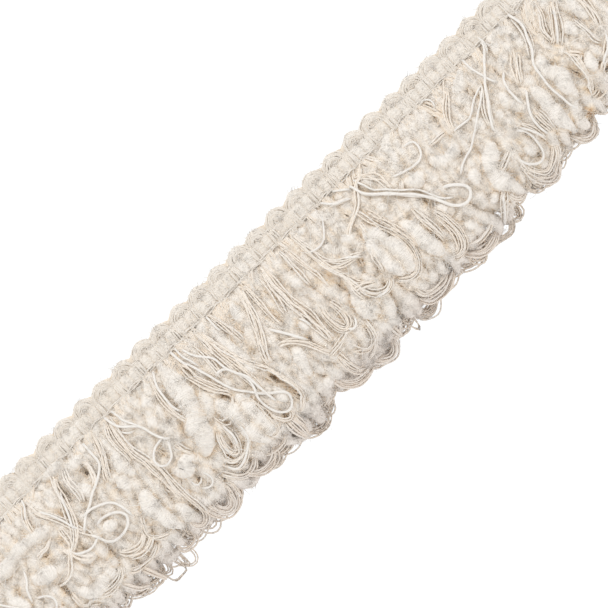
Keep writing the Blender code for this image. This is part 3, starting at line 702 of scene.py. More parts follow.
# Loops of fine yarn that show at the edge, as a number of yarns and points of their middle line.
EDGE_LOOPS = (
    (3, ((-70, -15), (-70.3, -21), (-70.8, -24.3), (-73.5, -25.4), (-76.6, -24.9), (-77.5, -22.9),
         (-75.5, -20.9), (-72, -20.4), (-70, -17))),
    (2, ((-75.0, -18), (-74.8, -25), (-75.2, -28.2), (-76.9, -29.6), (-78.8, -28.3), (-80.0, -25),
         (-79.9, -18))),
    (3, ((-80.8, -17), (-80.9, -24.3), (-79.6, -27.6), (-78.2, -28.4), (-77.8, -25), (-78.2, -21),
         (-77.6, -17))),
    (2, ((-87, -17), (-86, -24.5), (-84.7, -28.8), (-82, -29.3), (-79.6, -28.9), (-80.2, -26.5), (-82.6, -25),
         (-83.5, -20))),
    (4, ((-90, -16), (-88, -22), (-85.5, -26), (-83, -26.4), (-81.5, -23), (-82, -17))),
    (4, ((52.5, -15), (52.3, -21.5), (53.6, -24.9), (57, -26.3), (60.2, -25.5), (61.6, -23.3), (60, -21.5),
         (56, -21.0), (53, -20))),
    (3, ((62, -14), (63.5, -19.5), (61, -23.5), (58, -25.8), (53.5, -25.4), (49, -24.8), (46, -21),
         (46, -15))),
    (2, ((16, -17), (17.5, -24), (18.9, -27.0), (20, -25), (19.5, -17))),
    (4, ((66, -12), (67, -18), (70, -20.6), (73, -19), (73, -12))),
    (5, ((-28, -17), (-27, -24), (-24, -27.8), (-20, -28.2), (-16.5, -25.5), (-16, -18))),
    (5, ((0.5, -17), (2, -24), (5, -27.3), (8.5, -27.4), (11.2, -24.4), (11.5, -17))),
    (5, ((-64, -16), (-62.5, -23), (-59.5, -26), (-56, -25.2), (-54, -21), (-55, -15))),
    (4, ((-45, -16), (-43.5, -23), (-40, -25.9), (-36.5, -25), (-34.5, -18))),
    (4, ((21, -16), (21.5, -23), (24.5, -26.2), (28, -25.4), (30, -18))),
)


def sizes():
    """The sizes in the panel."""
    return bpy.context.scene.fringe_sizes


def lay_fillers(pile, laid, rng):
    """Lays short fat strands side by side along the heading and along the edge, which fill the pile there."""
    for x in np.arange(-HALF_LENGTH + 4, HALF_LENGTH - 3, 4.1):
        points = [(x + rng.uniform(-1, 1), y) for y in (20.4, 17, 13, 9)]
        lay_chenille(pile, laid, rng, points, rng.uniform(4.2, 5.0), ROOT_FILLER_CAP)
        low = edge_y(x) + 1.3
        points = [(x + rng.uniform(-2, 2), y) for y in (low + 14, low + 9, low + 4, low)]
        lay_chenille(pile, laid, rng, points, rng.uniform(4.2, 5.2), EDGE_FILLER_CAP)


def lay_edge_loop(pile, laid, rng, yarns, points):
    """Lays fine yarns in a loop at the edge, one inside another.

    Each yarn is the outermost one drawn in to the loop's middle, by four fifths at most.
    """
    middle = np.mean(points, axis=0)
    thick = sizes().yarn_thickness / MM
    for part in np.arange(yarns) / 9:
        inner = middle + (np.array(points) - middle) * (1 - 0.8 * part) + rng.uniform(-0.15, 0.15, 2)
        lay_thread(pile, laid, rng, "skein", inner, thick, 0.25, 0.8, EDGE_LOOP_CAP)


def lay_all():
    """Lays every loop of the fringe once, from the lowest to the highest, and returns them by kind.

    Each is a centre line, its radius along it and a number from 0 to 1 that varies its colour.
    """
    rng = np.random.default_rng(SEED)
    pile = Pile()
    laid = {"chenille": [], "skein": [], "cord": [], "top": pile}
    for layer in LAYERS[:-1]:
        lay_layer(pile, laid, rng, layer)
    lay_fillers(pile, laid, rng)
    fill_gaps(pile, laid, rng, 60)
    lay_layer(pile, laid, rng, LAYERS[-1])
    for yarns, points in EDGE_LOOPS:
        lay_edge_loop(pile, laid, rng, yarns, points)
    for thick, points in TOP_CHENILLE:
        points = [(x, y - 0.35 * max(0, -8 - y)) for x, y in points]
        lay_chenille(pile, laid, rng, points, thick, TOP_CHENILLE_CAP, 0.9)
    fill_gaps(pile, laid, rng, 50)
    for yarns, wide, points in TOP_BUNDLES:
        lay_bundle(pile, laid, rng, yarns, wide, points)
    for thick, points in TOP_CORDS:
        lay_thread(pile, laid, rng, "cord", points, 0.68 * thick, 0.25, 0.95, CORD_CAP, 1.0)
    return laid


LAID = {}


def laid_loops(kind):
    """The laid loops of one kind; the first call lays them all."""
    if not LAID:
        LAID.update(lay_all())
    return LAID[kind]


def loft_faces(rings, sides):
    """The faces of a closed form through rings of so many sides: quads between rings, and a fan at each end.

    Its vertices are those of one ring after another, and then the middle points of the two ends.
    """
    i, k = np.meshgrid(np.arange(rings - 1), np.arange(sides), indexing="ij")
    j = (k + 1) % sides
    quads = np.stack([i * sides + k, i * sides + j, (i + 1) * sides + j, (i + 1) * sides + k], -1)
    k, j = k[0], j[0]
    last = (rings - 1) * sides
    first_fan = np.column_stack([np.full(sides, rings * sides), j, k])
    last_fan = np.column_stack([np.full(sides, rings * sides + 1), last + k, last + j])
    return quads.reshape(-1, 4), np.vstack([first_fan, last_fan])


def tube(centre, radius, sides, ripple=None):
    """A closed tube along a centre line, as vertices, quads, triangles and a turn and length for each vertex.

    Each ring is a circle of the radius there, square to the line, whose side lies level. Ripple adds to the
    radius at each ring and side. A point closes each end.
    """
    ahead = np.gradient(centre, axis=0)
    ahead /= np.linalg.norm(ahead, axis=1)[:, None]
    side = np.cross(UP, ahead)
    side /= np.linalg.norm(side, axis=1)[:, None] + 1e-9
    rise = np.cross(ahead, side)
    turn = np.arange(sides) / sides
    angle = 2 * np.pi * np.arange(sides) / sides
    reach = radius[:, None] if ripple is None else radius[:, None] * (1 + ripple)
    ring = centre[:, None] + reach[..., None] * (
        np.cos(angle)[None, :, None] * side[:, None] + np.sin(angle)[None, :, None] * rise[:, None]
    )
    verts = np.vstack([ring.reshape(-1, 3), centre[:1], centre[-1:]])
    gone = np.concatenate([[0], np.cumsum(np.linalg.norm(np.diff(centre, axis=0), axis=1))])
    turns = np.concatenate([np.tile(turn, len(centre)), [0.5, 0.5]])
    along = np.concatenate([np.repeat(gone, sides), [gone[0], gone[-1]]])
    return verts, *loft_faces(len(centre), sides), turns, along


def join_tubes(strands, sides, ripples=None):
    """Joins a tube for each strand into one set of arrays, with each vertex's turn, length along and tint.

    What would reach below the surface that the trimming lies on is pressed flat on it.
    """
    verts, quads, tris, turns, alongs, tints = [], [], [], [], [], []
    start = 0
    for n, (centre, radius, tint) in enumerate(strands):
        v, q, t, turn, along = tube(centre, radius, sides, None if ripples is None else ripples[n])
        v[:, 2] = np.maximum(v[:, 2], 0)
        verts.append(v)
        quads.append(q + start)
        tris.append(t + start)
        turns.append(turn)
        alongs.append(along + 37.0 * tint)
        tints.append(np.full(len(v), tint))
        start += len(v)
    return [np.concatenate(part) for part in (verts, quads, tris, turns, alongs, tints)]


def painted_shade_share(verts, soft):
    """Painted shade for each vertex, which stands for how dull the light is that reaches it, from nought where it
    is bright to nearly two.

    It grows to nine tenths with the depth under the mean height of the pile's top within two and a half
    millimetres, and there it draws the colour to a painted golden light. In a hollow it grows past one with the
    depth under the full height of the pile, where soft pile counts as two millimetres deeper, and the colour is
    multiplied by a painted warm shade. Hollows near the heading are less dull. Towards the fringe's edge, which
    lies on the shaded side of the pile, the share falls below nought and stands for a painted grey shade.
    """
    x, y, z = verts.T
    pile = laid_loops("top")
    level = pile.read(box_mean(pile.top, 6), verts[:, :2])
    level = np.where(y > HEADING_FRONT, heading_z(y) - 0.3, level)
    # Painted golden light, growing with the depth under the pile's mean top.
    painted_shade = 0.9 * smooth((level - z + 0.5) / 2.6)
    below = 2.6 if soft else 0.6
    for hollow_x, hollow_y, wide, high in HOLLOWS:
        off = np.hypot((x - hollow_x) / (wide + 1.2), (y - hollow_y) / (high + 1.2))
        depth = PILE_HEIGHT * np.interp(hollow_y, *np.array(PILE_SHAPE).T) - z
        # Painted warm shade in the hollows.
        painted_dimming = smooth(1.4 * (1 - off)) * smooth((depth + below) / 3.2)
        painted_shade = np.maximum(painted_shade, 1.85 * (painted_dimming * (1 - 0.6 * smooth((hollow_y - 6) / 5))))
    # Painted grey shade towards the fringe's edge.
    edge = smooth((-16.5 - y) / 7)
    return painted_shade * (1 - 0.8 * edge) - 0.8 * edge


def mesh_piece(name, shape, material):
    """Makes a mesh object from arrays in millimetres, with a UV map of turn and length and a tint per vertex.

    The shape is vertices, quads and triangles, then each vertex's turn, length along and tint, or only the first
    three. A second attribute holds the painted shade: how dull the light is that reaches each vertex.
    """
    verts, quads, tris, turn, along, tint = (*shape, None, None, None)[:6]
    mesh = bpy.data.meshes.new(name)
    mesh.vertices.add(len(verts))
    mesh.vertices.foreach_set("co", (verts * MM).astype(np.float32).ravel())
    corners = np.concatenate([quads.ravel(), tris.ravel()]).astype(np.int32)
    mesh.loops.add(len(corners))
    mesh.loops.foreach_set("vertex_index", corners)
    mesh.polygons.add(len(quads) + len(tris))
    starts = np.concatenate([4 * np.arange(len(quads)), 4 * len(quads) + 3 * np.arange(len(tris))])
    mesh.polygons.foreach_set("loop_start", starts.astype(np.int32))
    mesh.update(calc_edges=True)
    mesh.shade_smooth()
    if turn is not None:
        # A quad whose turns run from nearly one back to nought gets one added to the low ones.
        u, v = turn[corners], along[corners] * MM
        blocks = u[: quads.size].reshape(-1, 4)
        wrapped = blocks.max(axis=1) - blocks.min(axis=1) > 0.6
        blocks[wrapped] += (blocks[wrapped] < 0.5) * 1.0
        uv = mesh.uv_layers.new(name="strand")
        uv.data.foreach_set("uv", np.column_stack([u, v]).astype(np.float32).ravel())
        mesh.attributes.new("tint", "FLOAT", "POINT").data.foreach_set("value", tint.astype(np.float32))
    # The painted shade share of each vertex.
    painted_shade = painted_shade_share(verts, name.startswith("chenille"))
    mesh.attributes.new("painted_shade", "FLOAT", "POINT").data.foreach_set("value", painted_shade.astype(np.float32))
    mesh.validate()
    mesh.materials.append(material)
    piece = bpy.data.objects.new(name, mesh)
    bpy.context.scene.collection.objects.link(piece)
    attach(piece, "root")
    return piece


# The heading's height across its width, as y and z.
HEADING_PROFILE = (
    (17.6, 2.2), (19.0, 3.1), (20.4, 3.4), (22.4, 3.7), (24.0, 3.2), (24.9, 2.5), (26.0, 2.8), (27.2, 2.7),
    (28.2, 1.8), (29.0, 0.7), (29.6, 0.5),
)
SCALLOP = 8.0
STITCH = 4.0

# The lines across the heading where its parts begin, are bound and turn, as y.
HEADING_BACK_Y = 18.0
INNER_BINDING_Y = 20.4
OUTER_BINDING_Y = 24.9
SCALLOP_ROOT_Y = 23.8


def heading_z(y):
    """The heading's height at y, read off a smooth line through the table of its profile."""
    line = even_line(HEADING_PROFILE, 0.1)
    return np.interp(y, line[:, 0], line[:, 1])


def scallop_y(x):
    """The heading's free edge: it bulges out over each scallop by a half sine and dips between two."""
    return 27.9 + 0.9 * np.abs(np.sin(np.pi * (x + HALF_LENGTH) / SCALLOP)) ** 0.6


def heading_ground():
    """The ground of the heading, as a closed band with a flat underside.

    Its section, from the loops to the free edge, follows the heading's profile a little below the stitches, and
    runs back along z = 0. It is carried along x, with its free edge drawn to the scallops and its top rippled by
    a sine. It runs the other way round than a tube's rings, so its faces are turned.
    """
    x = np.linspace(-HALF_LENGTH, HALF_LENGTH, 273)
    across = np.concatenate([np.linspace(0, 1, 26), np.linspace(1, 0, 8)])
    raised = np.concatenate([np.ones(26), np.zeros(8)])
    y_edge = scallop_y(x) - 0.5
    y = HEADING_BACK_Y + across[None, :] * (y_edge[:, None] - HEADING_BACK_Y)
    ripple = 0.12 * np.sin(2 * np.pi * x / STITCH)[:, None]
    top = heading_z(HEADING_BACK_Y + across * 10.4)[None, :] - 0.25 + ripple
    z = raised[None, :] * np.maximum(top, 0.25)
    verts = np.stack([np.broadcast_to(x[:, None], y.shape), y, z], -1).reshape(-1, 3)
    ends = np.array([[x[0], 23.0, 1.0], [x[-1], 23.0, 1.0]])
    quads, fans = loft_faces(len(x), len(across))
    return np.vstack([verts, ends]), quads[:, [0, 3, 2, 1]], fans[:, [0, 2, 1]]


def heading_line(rng, points, lift, play, step=0.7):
    """A strand of the heading: a smooth line with slight play, at the heading's height and a lift above it."""
    line = even_line(points, step)
    gone = np.arange(len(line)) * step
    line = line + play * np.column_stack([wander(rng, gone, 6), wander(rng, gone, 6)])
    z = heading_z(line[:, 1]) + lift + 0.10 * wander(rng, gone, 5)
    x = np.clip(line[:, 0], -HALF_LENGTH + 0.4, HALF_LENGTH - 0.4)
    return np.column_stack([x, line[:, 1], z])


def scallop_threads(rng, x):
    """Seven fine threads that turn at the heading's free edge, one inside another.

    The outer ones run back over the heading into the fringe, beside those of the next scallop, and the inner ones
    sink into it behind the scallop.
    """
    threads = []
    wide = rng.uniform(6.9, 8.4)
    tip_y = rng.uniform(28.2, 29.1)
    for share in (np.arange(7) + 1) / 7:
        belly = wide * (0.36 + 0.64 * share)
        tip = tip_y - (1 - share) * 2.4 + rng.uniform(-0.12, 0.12)
        over = share > 0.8
        points = hairpin(
            x + rng.uniform(-0.3, 0.3), x, tip, belly, rng.uniform(-0.3, 0.3), belly * (0.97 if over else 0.8),
            19.0 if over else SCALLOP_ROOT_Y,
        )
        line = heading_line(rng, points, 0.42 - 0.20 * share, 0.12)
        line[:, 2] = np.maximum(line[:, 2], 0.33)
        if not over:
            line[:, 2] -= 0.9 * (1 - smooth((line[:, 1] - SCALLOP_ROOT_Y) / 1.4))
        threads.append((line, np.full(len(line), rng.uniform(0.27, 0.32)), rng.uniform()))
    return threads


def soft_yarn(rng, points, radius, lift, taper=None):
    """A fat soft yarn of the heading, whose top lies a lift above the heading's height.

    Taper is how much it thins towards the free edge, the y where that begins and the length that it takes.
    """
    line = heading_line(rng, points, 0.0, 0.1, 0.5)
    radius = np.full(len(line), rng.uniform(*radius))
    if taper:
        share, start, length = taper
        radius = radius * (1 - share * smooth((line[:, 1] - start) / length))
    line[:, 2] += rng.uniform(*lift) - radius
    return line, radius, rng.uniform()


def heading_turns(rng):
    """The parts of the heading that turn at its free edge: its fine threads and its fat soft yarns.

    Inside the threads of each scallop a fat yarn turns too, thinner at its turn and pinched, by a bell curve,
    where the binding lines cross it. Another lies straight between two scallops and thins towards the edge, and
    a short one fills the middle of the scallop.
    """
    threads, soft, knobs = [], [], []
    for middle in np.arange(-HALF_LENGTH + SCALLOP / 2, HALF_LENGTH, SCALLOP):
        x = middle + rng.uniform(-0.6, 0.6)
        threads += scallop_threads(rng, x)
        points = hairpin(x, x + rng.uniform(-0.4, 0.4), 27.3, 3.7, rng.uniform(-0.4, 0.4), 2.6, 18.4)
        line = heading_line(rng, points, 0.0, 0.2, 0.5)
        radius = rng.uniform(2.7, 3.1) * (1 - 0.42 * smooth((line[:, 1] - 24.6) / 2.8))
        line[:, 2] += rng.uniform(0.12, 0.35) - radius
        bells = [np.exp(-(((line[:, 1] - y) / 0.6) ** 2)) for y in (OUTER_BINDING_Y, INNER_BINDING_Y)]
        pinch = 0.12 * bells[0] + 0.09 * bells[1]
        soft.append((line, radius * (1 - pinch), rng.uniform()))
        x = middle + SCALLOP / 2 + rng.uniform(-0.3, 0.3)
        points = [(x, 18.4), (x + rng.uniform(-0.4, 0.4), 21.5), (x, rng.uniform(26.2, 27.0))]
        soft.append(soft_yarn(rng, points, (2.4, 2.7), (-0.1, 0.15), (0.4, 24.0, 3.0)))
        points = [(middle - 1.1, 25.9), (middle, 26.3), (middle + 1.1, 26.0)]
        knobs.append(soft_yarn(rng, points, (0.95, 1.15), (0.28, 0.42)))
    return threads, soft + knobs


def heading_bindings(rng):
    """The binding threads that run along the heading, over its soft yarns and between its turned threads.

    Each waves once in a scallop. Two small rings lie in the middle of each scallop, one in the other, and three
    to five threads cross the heading between two scallops.
    """
    threads = []
    x = np.arange(-HALF_LENGTH + 0.5, HALF_LENGTH, 1.0)
    bindings = (
        (25.3, 0.60, 0.18, 0.25), (24.7, 0.55, 0.12, -0.25), (20.8, 0.60, 0.20, 0.25), (20.2, 0.60, 0.25, -0.25),
    )
    for level, thick, lift, wave in bindings:
        line = np.column_stack([x, level + wave * np.sin(2 * np.pi * x / SCALLOP + rng.uniform(0, 6))])
        line = heading_line(rng, line, lift, 0.2, 0.8)
        threads.append((line, np.full(len(line), thick / 2), 1.0))
    turn = np.linspace(0, 2 * np.pi, 9)
    for middle in np.arange(-HALF_LENGTH + SCALLOP / 2, HALF_LENGTH, SCALLOP):
        centre = np.array([middle + rng.uniform(-0.5, 0.5), 26.1 + rng.uniform(-0.2, 0.2)])
        for reach in (rng.uniform(1.15, 1.4), rng.uniform(0.55, 0.75)):
            ring = centre + reach * np.column_stack([np.cos(turn), 0.75 * np.sin(turn)])
            line = heading_line(rng, ring, 0.30, 0.05, 0.5)
            threads.append((line, np.full(len(line), 0.30), rng.uniform()))
        for aside in np.linspace(-0.9, 0.9, int(rng.integers(3, 6))):
            x = middle + SCALLOP / 2 + aside + rng.uniform(-0.15, 0.15)
            line = heading_line(rng, [(x, 18.6), (x + rng.uniform(-0.2, 0.2), 22), (x, 25.6)], 0.14, 0.15)
            threads.append((line, np.full(len(line), 0.33), rng.uniform(0.7, 1.0)))
    return threads


def pile_tufts(strands, pile, rng, thickness, length):
    """Small pointed tufts that stand out of the chenille where it can be seen.

    Each is a three-sided point: its foot is a small triangle on the strand's surface, and its tip lies out from
    it by the tuft's length, leant at random. Those at a strand's sides, which fill the gaps between strands, are
    longer by the square of their angle's cosine. Along a strand they lie over now forwards and now backwards, by
    a sine. Spots with the pile's top well above them, or close to the ground, are left bare.
    """
    all_verts, tints = [], []
    for centre, radius, tint in strands:
        step = np.linalg.norm(np.diff(centre, axis=0), axis=1).mean()
        count = int(len(centre) * step * radius.mean() * sizes().tufts_per_mm)
        spot = rng.uniform(0, len(centre) - 1.001, count)
        low = spot.astype(int)
        part = (spot - low)[:, None]
        middle = centre[low] * (1 - part) + centre[low + 1] * part
        reach = radius[low] * (1 - part[:, 0]) + radius[low + 1] * part[:, 0]
        ahead = centre[low + 1] - centre[low]
        ahead /= np.linalg.norm(ahead, axis=1)[:, None]
        side = np.cross(UP, ahead)
        side /= np.linalg.norm(side, axis=1)[:, None]
        rise = np.cross(ahead, side)
        angle = rng.uniform(-0.25, np.pi + 0.25, count)[:, None]
        out = np.cos(angle) * side + np.sin(angle) * rise
        foot = middle + out * reach[:, None] * 0.90
        seen = (pile.read(pile.top, foot[:, :2]) < foot[:, 2] + 1.0) & (foot[:, 2] > 0.8 * length)
        round_way = np.cross(out, ahead)
        wave = np.sin(0.9 * spot * step + rng.uniform(0, 6, (2, 1)))[..., None]
        lean = rng.normal(0, 0.6, (2, count, 1)) + np.array([1.3, 0.6])[:, None, None] * wave
        tip = out + lean[0] * ahead + lean[1] * round_way
        tip /= np.linalg.norm(tip, axis=1)[:, None]
        pinch = (0.4 + 0.6 * reach / radius.max())[:, None]
        tip = foot + tip * length * (1 + np.cos(angle) ** 2) * rng.uniform(0.55, 1.25, (count, 1)) * pinch
        wide = thickness * rng.uniform(0.7, 1.3, (count, 1)) * pinch
        corners = [foot + wide * (np.cos(a) * ahead + np.sin(a) * round_way) for a in np.radians([0, 120, 240])]
        verts = np.stack([*corners, tip], 1)[seen].reshape(-1, 3)
        verts[:, 2] = np.maximum(verts[:, 2], 0)
        all_verts.append(verts)
        tints.append(np.full(4 * seen.sum(), tint))
    verts = np.concatenate(all_verts)
    start = 4 * np.arange(len(verts) // 4)[:, None, None]
    tris = (start + np.array([[0, 3, 1], [1, 3, 2], [2, 3, 0]])).reshape(-1, 3)
    return verts, tris, np.concatenate(tints)


def stray_fibres(pile, rng, count):
    """Fine hairs that lie loose on the loops.

    Each is an arc of a few millimetres that turns at an even rate, lies on the pile's top and lifts off it by a
    low half sine.
    """
    fibres = []
    t = np.linspace(0, 1, 9)
    for _ in range(count):
        start = [rng.uniform(-HALF_LENGTH + 10, HALF_LENGTH - 10), rng.uniform(-23, 17)]
        heading = rng.uniform(0, 2 * np.pi) + rng.uniform(-2.4, 2.4) * t
        length = rng.uniform(4, 10)
        xy = start + np.cumsum(np.column_stack([np.cos(heading), np.sin(heading)]), axis=0) * length / 9
        near, away = pile.cells(xy, 0.8)
        under = np.where(away < 0.8, pile.top[near[..., 0], near[..., 1]], 0).max(axis=1)
        z = np.convolve(np.pad(under, 1, mode="edge"), [0.25, 0.5, 0.25], mode="valid")
        z = z + rng.uniform(0.1, 0.9) * np.sin(np.pi * t)
        fibres.append((np.column_stack([xy, z]), np.full(9, 0.07), rng.uniform()))
    return fibres


def group(name, inputs, outputs):
    """A new shader node group with its sockets, and its input and output nodes."""
    tree = bpy.data.node_groups.new(name, "ShaderNodeTree")
    for kind, label, default in inputs:
        socket = tree.interface.new_socket(name=label, in_out="INPUT", socket_type=kind)
        socket.default_value = default
    for kind, label in outputs:
        tree.interface.new_socket(name=label, in_out="OUTPUT", socket_type=kind)
    return tree, tree.nodes.new("NodeGroupInput"), tree.nodes.new("NodeGroupOutput")


def put(tree, kind, inputs=None, **settings):
    """Adds a node to a tree, with its settings, and its inputs set to values or joined to other sockets."""
    node = tree.nodes.new(kind)
    for name, value in settings.items():
        setattr(node, name, value)
    for name, value in (inputs or {}).items():
        if isinstance(value, bpy.types.NodeSocket):
            tree.links.new(value, node.inputs[name])
        else:
            node.inputs[name].default_value = value
    return node


def maths(tree, operation, a, b=0.0, c=0.0):
    """The output of a math node on values or sockets."""
    return put(tree, "ShaderNodeMath", {0: a, 1: b, 2: c}, operation=operation).outputs[0]


def twist_group():
    """Ridges that wind round a strand: a sine of the turn times the plies plus the length over the pitch.

    Noise on the length bends the ridges a little. Nought is a furrow and one a crest.
    """
    tree, given, gives = group(
        "Yarn twist",
        (
            ("NodeSocketFloat", "Plies", 2.0),
            ("NodeSocketFloat", "Pitch", 0.002),
            ("NodeSocketFloat", "Bend", 0.5),
        ),
        (("NodeSocketFloat", "Ridge"),),
    )
    uv = put(tree, "ShaderNodeUVMap", uv_map="strand")
    parts = put(tree, "ShaderNodeSeparateXYZ", {"Vector": uv.outputs["UV"]})
    place = put(tree, "ShaderNodeTexCoord").outputs["Object"]
    noise = put(tree, "ShaderNodeTexNoise", {"Vector": place, "Scale": 900.0, "Detail": 2.0})
    phase = maths(tree, "MULTIPLY", parts.outputs["X"], given.outputs["Plies"])
    phase = maths(tree, "ADD", phase, maths(tree, "DIVIDE", parts.outputs["Y"], given.outputs["Pitch"]))
    phase = maths(tree, "MULTIPLY_ADD", noise.outputs["Fac"], given.outputs["Bend"], phase)
    wave = maths(tree, "SINE", maths(tree, "MULTIPLY", phase, 2 * np.pi))
    tree.links.new(maths(tree, "MULTIPLY_ADD", wave, 0.5, 0.5), gives.inputs["Ridge"])
    return tree


def fibre_group():
    """Flecks of short fibres: fine noise and broader clumps on the piece's own coordinates."""
    tree, given, gives = group(
        "Fibre flecks",
        (("NodeSocketFloat", "Fine scale", 2500.0), ("NodeSocketFloat", "Clump scale", 260.0)),
        (("NodeSocketFloat", "Fine"), ("NodeSocketFloat", "Clumps")),
    )
    place = put(tree, "ShaderNodeTexCoord").outputs["Object"]
    for label, scale in (("Fine", "Fine scale"), ("Clumps", "Clump scale")):
        noise = put(
            tree, "ShaderNodeTexNoise",
            {"Vector": place, "Scale": given.outputs[scale], "Detail": 3.0, "Roughness": 0.6},
        )
        tree.links.new(noise.outputs["Fac"], gives.inputs[label])
    return tree


def mix_colour(tree, share, first, second, blend="MIX"):
    """The colour output of a mix node, which blends a share of the second colour into the first."""
    sockets = {0: share, 6: first, 7: second}
    return put(tree, "ShaderNodeMix", sockets, data_type="RGBA", blend_type=blend).outputs[2]


def colour_group():
    """Yarn colour: a base that is paler or deeper by strand, darker in the furrows by a painted shade, and
    flecked by its fibres.

    What lies deep in the pile is drawn to a golden colour, a painted light that stands for light that has passed
    many fibres, and in a hollow it is multiplied by a warm painted shade. Where the share of painted shade is
    below nought, towards the fringe's edge, it is multiplied by a grey painted shade.
    """
    tree, given, gives = group(
        "Yarn colour",
        (
            ("NodeSocketColor", "Base", (0.8, 0.75, 0.65, 1)),
            ("NodeSocketColor", "Pale", (0.9, 0.88, 0.84, 1)),
            ("NodeSocketColor", "Deep", (0.5, 0.4, 0.3, 1)),
            ("NodeSocketFloat", "Pale share", 0.3),
            ("NodeSocketFloat", "Furrow", 0.3),
            ("NodeSocketFloat", "Fleck", 0.2),
            ("NodeSocketFloat", "Ridge", 1.0),
            ("NodeSocketFloat", "Fine", 0.5),
            ("NodeSocketFloat", "Clumps", 0.5),
            # Colours of painted light and shade: a golden light in crevices, a warm shade in hollows, a grey
            # shade at the edge.
            ("NodeSocketColor", "Painted crevice light", (1.0, 0.843, 0.66, 1)),
            ("NodeSocketColor", "Painted hollow shade", (0.92, 0.77, 0.61, 1)),
            ("NodeSocketColor", "Painted edge shade", (0.87, 0.85, 0.85, 1)),
        ),
        (("NodeSocketColor", "Color"),),
    )
    value = given.outputs
    tint = put(tree, "ShaderNodeAttribute", attribute_name="tint").outputs["Fac"]
    painted_shade = put(tree, "ShaderNodeAttribute", attribute_name="painted_shade").outputs["Fac"]
    colour = mix_colour(tree, maths(tree, "MULTIPLY", tint, value["Pale share"]), value["Base"], value["Pale"])
    # Painted shade in the furrows of the twist; the flecks are the fibres' own random tone.
    furrow = maths(tree, "MULTIPLY", maths(tree, "SUBTRACT", 1.0, value["Ridge"]), value["Furrow"])
    fibres = maths(tree, "ADD", value["Fine"], value["Clumps"])
    fleck = maths(tree, "MULTIPLY", maths(tree, "SUBTRACT", 1.15, fibres), value["Fleck"])
    dark = put(tree, "ShaderNodeMath", {0: furrow, 1: fleck}, operation="ADD", use_clamp=True).outputs[0]
    colour = mix_colour(tree, dark, colour, value["Deep"])
    # Painted light and shade by depth: golden in crevices, warm in hollows, grey towards the fringe's edge.
    colour = mix_colour(tree, painted_shade, colour, value["Painted crevice light"])
    hollow = maths(tree, "SUBTRACT", painted_shade, 1.0)
    edge = maths(tree, "MULTIPLY", painted_shade, -1.0)
    colour = mix_colour(tree, hollow, colour, value["Painted hollow shade"], "MULTIPLY")
    colour = mix_colour(tree, edge, colour, value["Painted edge shade"], "MULTIPLY")
    tree.links.new(colour, gives.inputs["Color"])
    return tree


def yarn_material(name, base, pale, deep, twist, colour, bump, sheen):
    """A yarn material from the three groups.

    Twist is plies, pitch and bend. Colour is the pale share, furrow and fleck, where furrow is the share of
    painted shade in the twist's furrows. Bump is the heights of ridge, fine fibres and clumps in metres. Sheen is
    its weight and the roughness of the whole.
    """
    material = bpy.data.materials.new(name)
    material.use_nodes = True
    tree = material.node_tree
    tree.nodes.clear()
    made = bpy.data.node_groups
    ridges = put(tree, "ShaderNodeGroup", node_tree=made.get("Yarn twist") or twist_group())
    for label, value in zip(("Plies", "Pitch", "Bend"), twist):
        ridges.inputs[label].default_value = value
    fibres = put(tree, "ShaderNodeGroup", node_tree=made.get("Fibre flecks") or fibre_group())
    yarn = put(tree, "ShaderNodeGroup", node_tree=made.get("Yarn colour") or colour_group())
    for label, value in zip(("Base", "Pale", "Deep"), (base, pale, deep)):
        yarn.inputs[label].default_value = (*value, 1)
    for label, value in zip(("Pale share", "Furrow", "Fleck"), colour):
        yarn.inputs[label].default_value = value
    tree.links.new(ridges.outputs["Ridge"], yarn.inputs["Ridge"])
    height = maths(tree, "MULTIPLY", ridges.outputs["Ridge"], bump[0] / MM)
    for label, size in zip(("Fine", "Clumps"), bump[1:]):
        tree.links.new(fibres.outputs[label], yarn.inputs[label])
        height = maths(tree, "MULTIPLY_ADD", fibres.outputs[label], size / MM, height)
    relief = put(tree, "ShaderNodeBump", {"Height": height, "Distance": MM, "Strength": 1.0})
    shader = put(
        tree, "ShaderNodeBsdfPrincipled",
        {
            "Base Color": yarn.outputs["Color"], "Normal": relief.outputs["Normal"], "Roughness": sheen[1],
            "Sheen Weight": sheen[0], "Sheen Roughness": 0.5, "Specular IOR Level": 0.2,
        },
    )
    output = put(tree, "ShaderNodeOutputMaterial")
    tree.links.new(shader.outputs["BSDF"], output.inputs["Surface"])
    return material


def chenille_material(name, ringed, deep=0.0, tint_of="chenille"):
    """The soft material of chenille; its body shows the rings of the pile, by bump and by painted shade in their
    furrows, and its tufts don't.

    Deep is the share of painted shade by which the colour of deep-lying loops is drawn to the shade colour
    between fibres.
    """
    made = bpy.data.materials.get(name)
    if made:
        return made
    tint = colours()
    furrow, ring_height = (0.12, 0.00012) if ringed else (0.0, 0.0)
    base, pale = (
        [(1 - deep) * a + deep * b for a, b in zip(colour, tint.deep)]
        for colour in (getattr(tint, tint_of), tint.cord)
    )
    return yarn_material(
        name, base, pale, tint.deep, (0, 0.0006, 1.2), (0.5, furrow, 0.14), (ring_height, 0.0001, 0.0002),
        (0.0, 0.95),
    )


def uneven_pile(rng, centre, sides):
    """Unevenness of chenille: rings that stand out in turn, lumps round the strand and a fine roughness."""
    n = len(centre)
    gone = np.arange(n) * FINE_STEP
    rings = 0.04 * rng.uniform(-1, 1, n)[:, None]
    angle = 2 * np.pi * np.arange(sides) / sides
    lumps = 0.06 * np.sin(angle[None] + 2.5 * wander(rng, gone, 7)[:, None]) * wander(rng, gone, 5)[:, None]
    return rings + lumps + 0.03 * rng.uniform(-1, 1, (n, sides))


def tuft_piece(name, strands, pile, rng):
    """The piece of tufts for some chenille strands."""
    verts, tris, shade = pile_tufts(strands, pile, rng, sizes().tuft_thickness / MM, sizes().tuft_length / MM)
    flat = np.zeros(len(verts))
    shape = (verts, np.zeros((0, 4), int), tris, flat, flat, shade)
    return mesh_piece(name, shape, chenille_material("chenille_tufts", False))


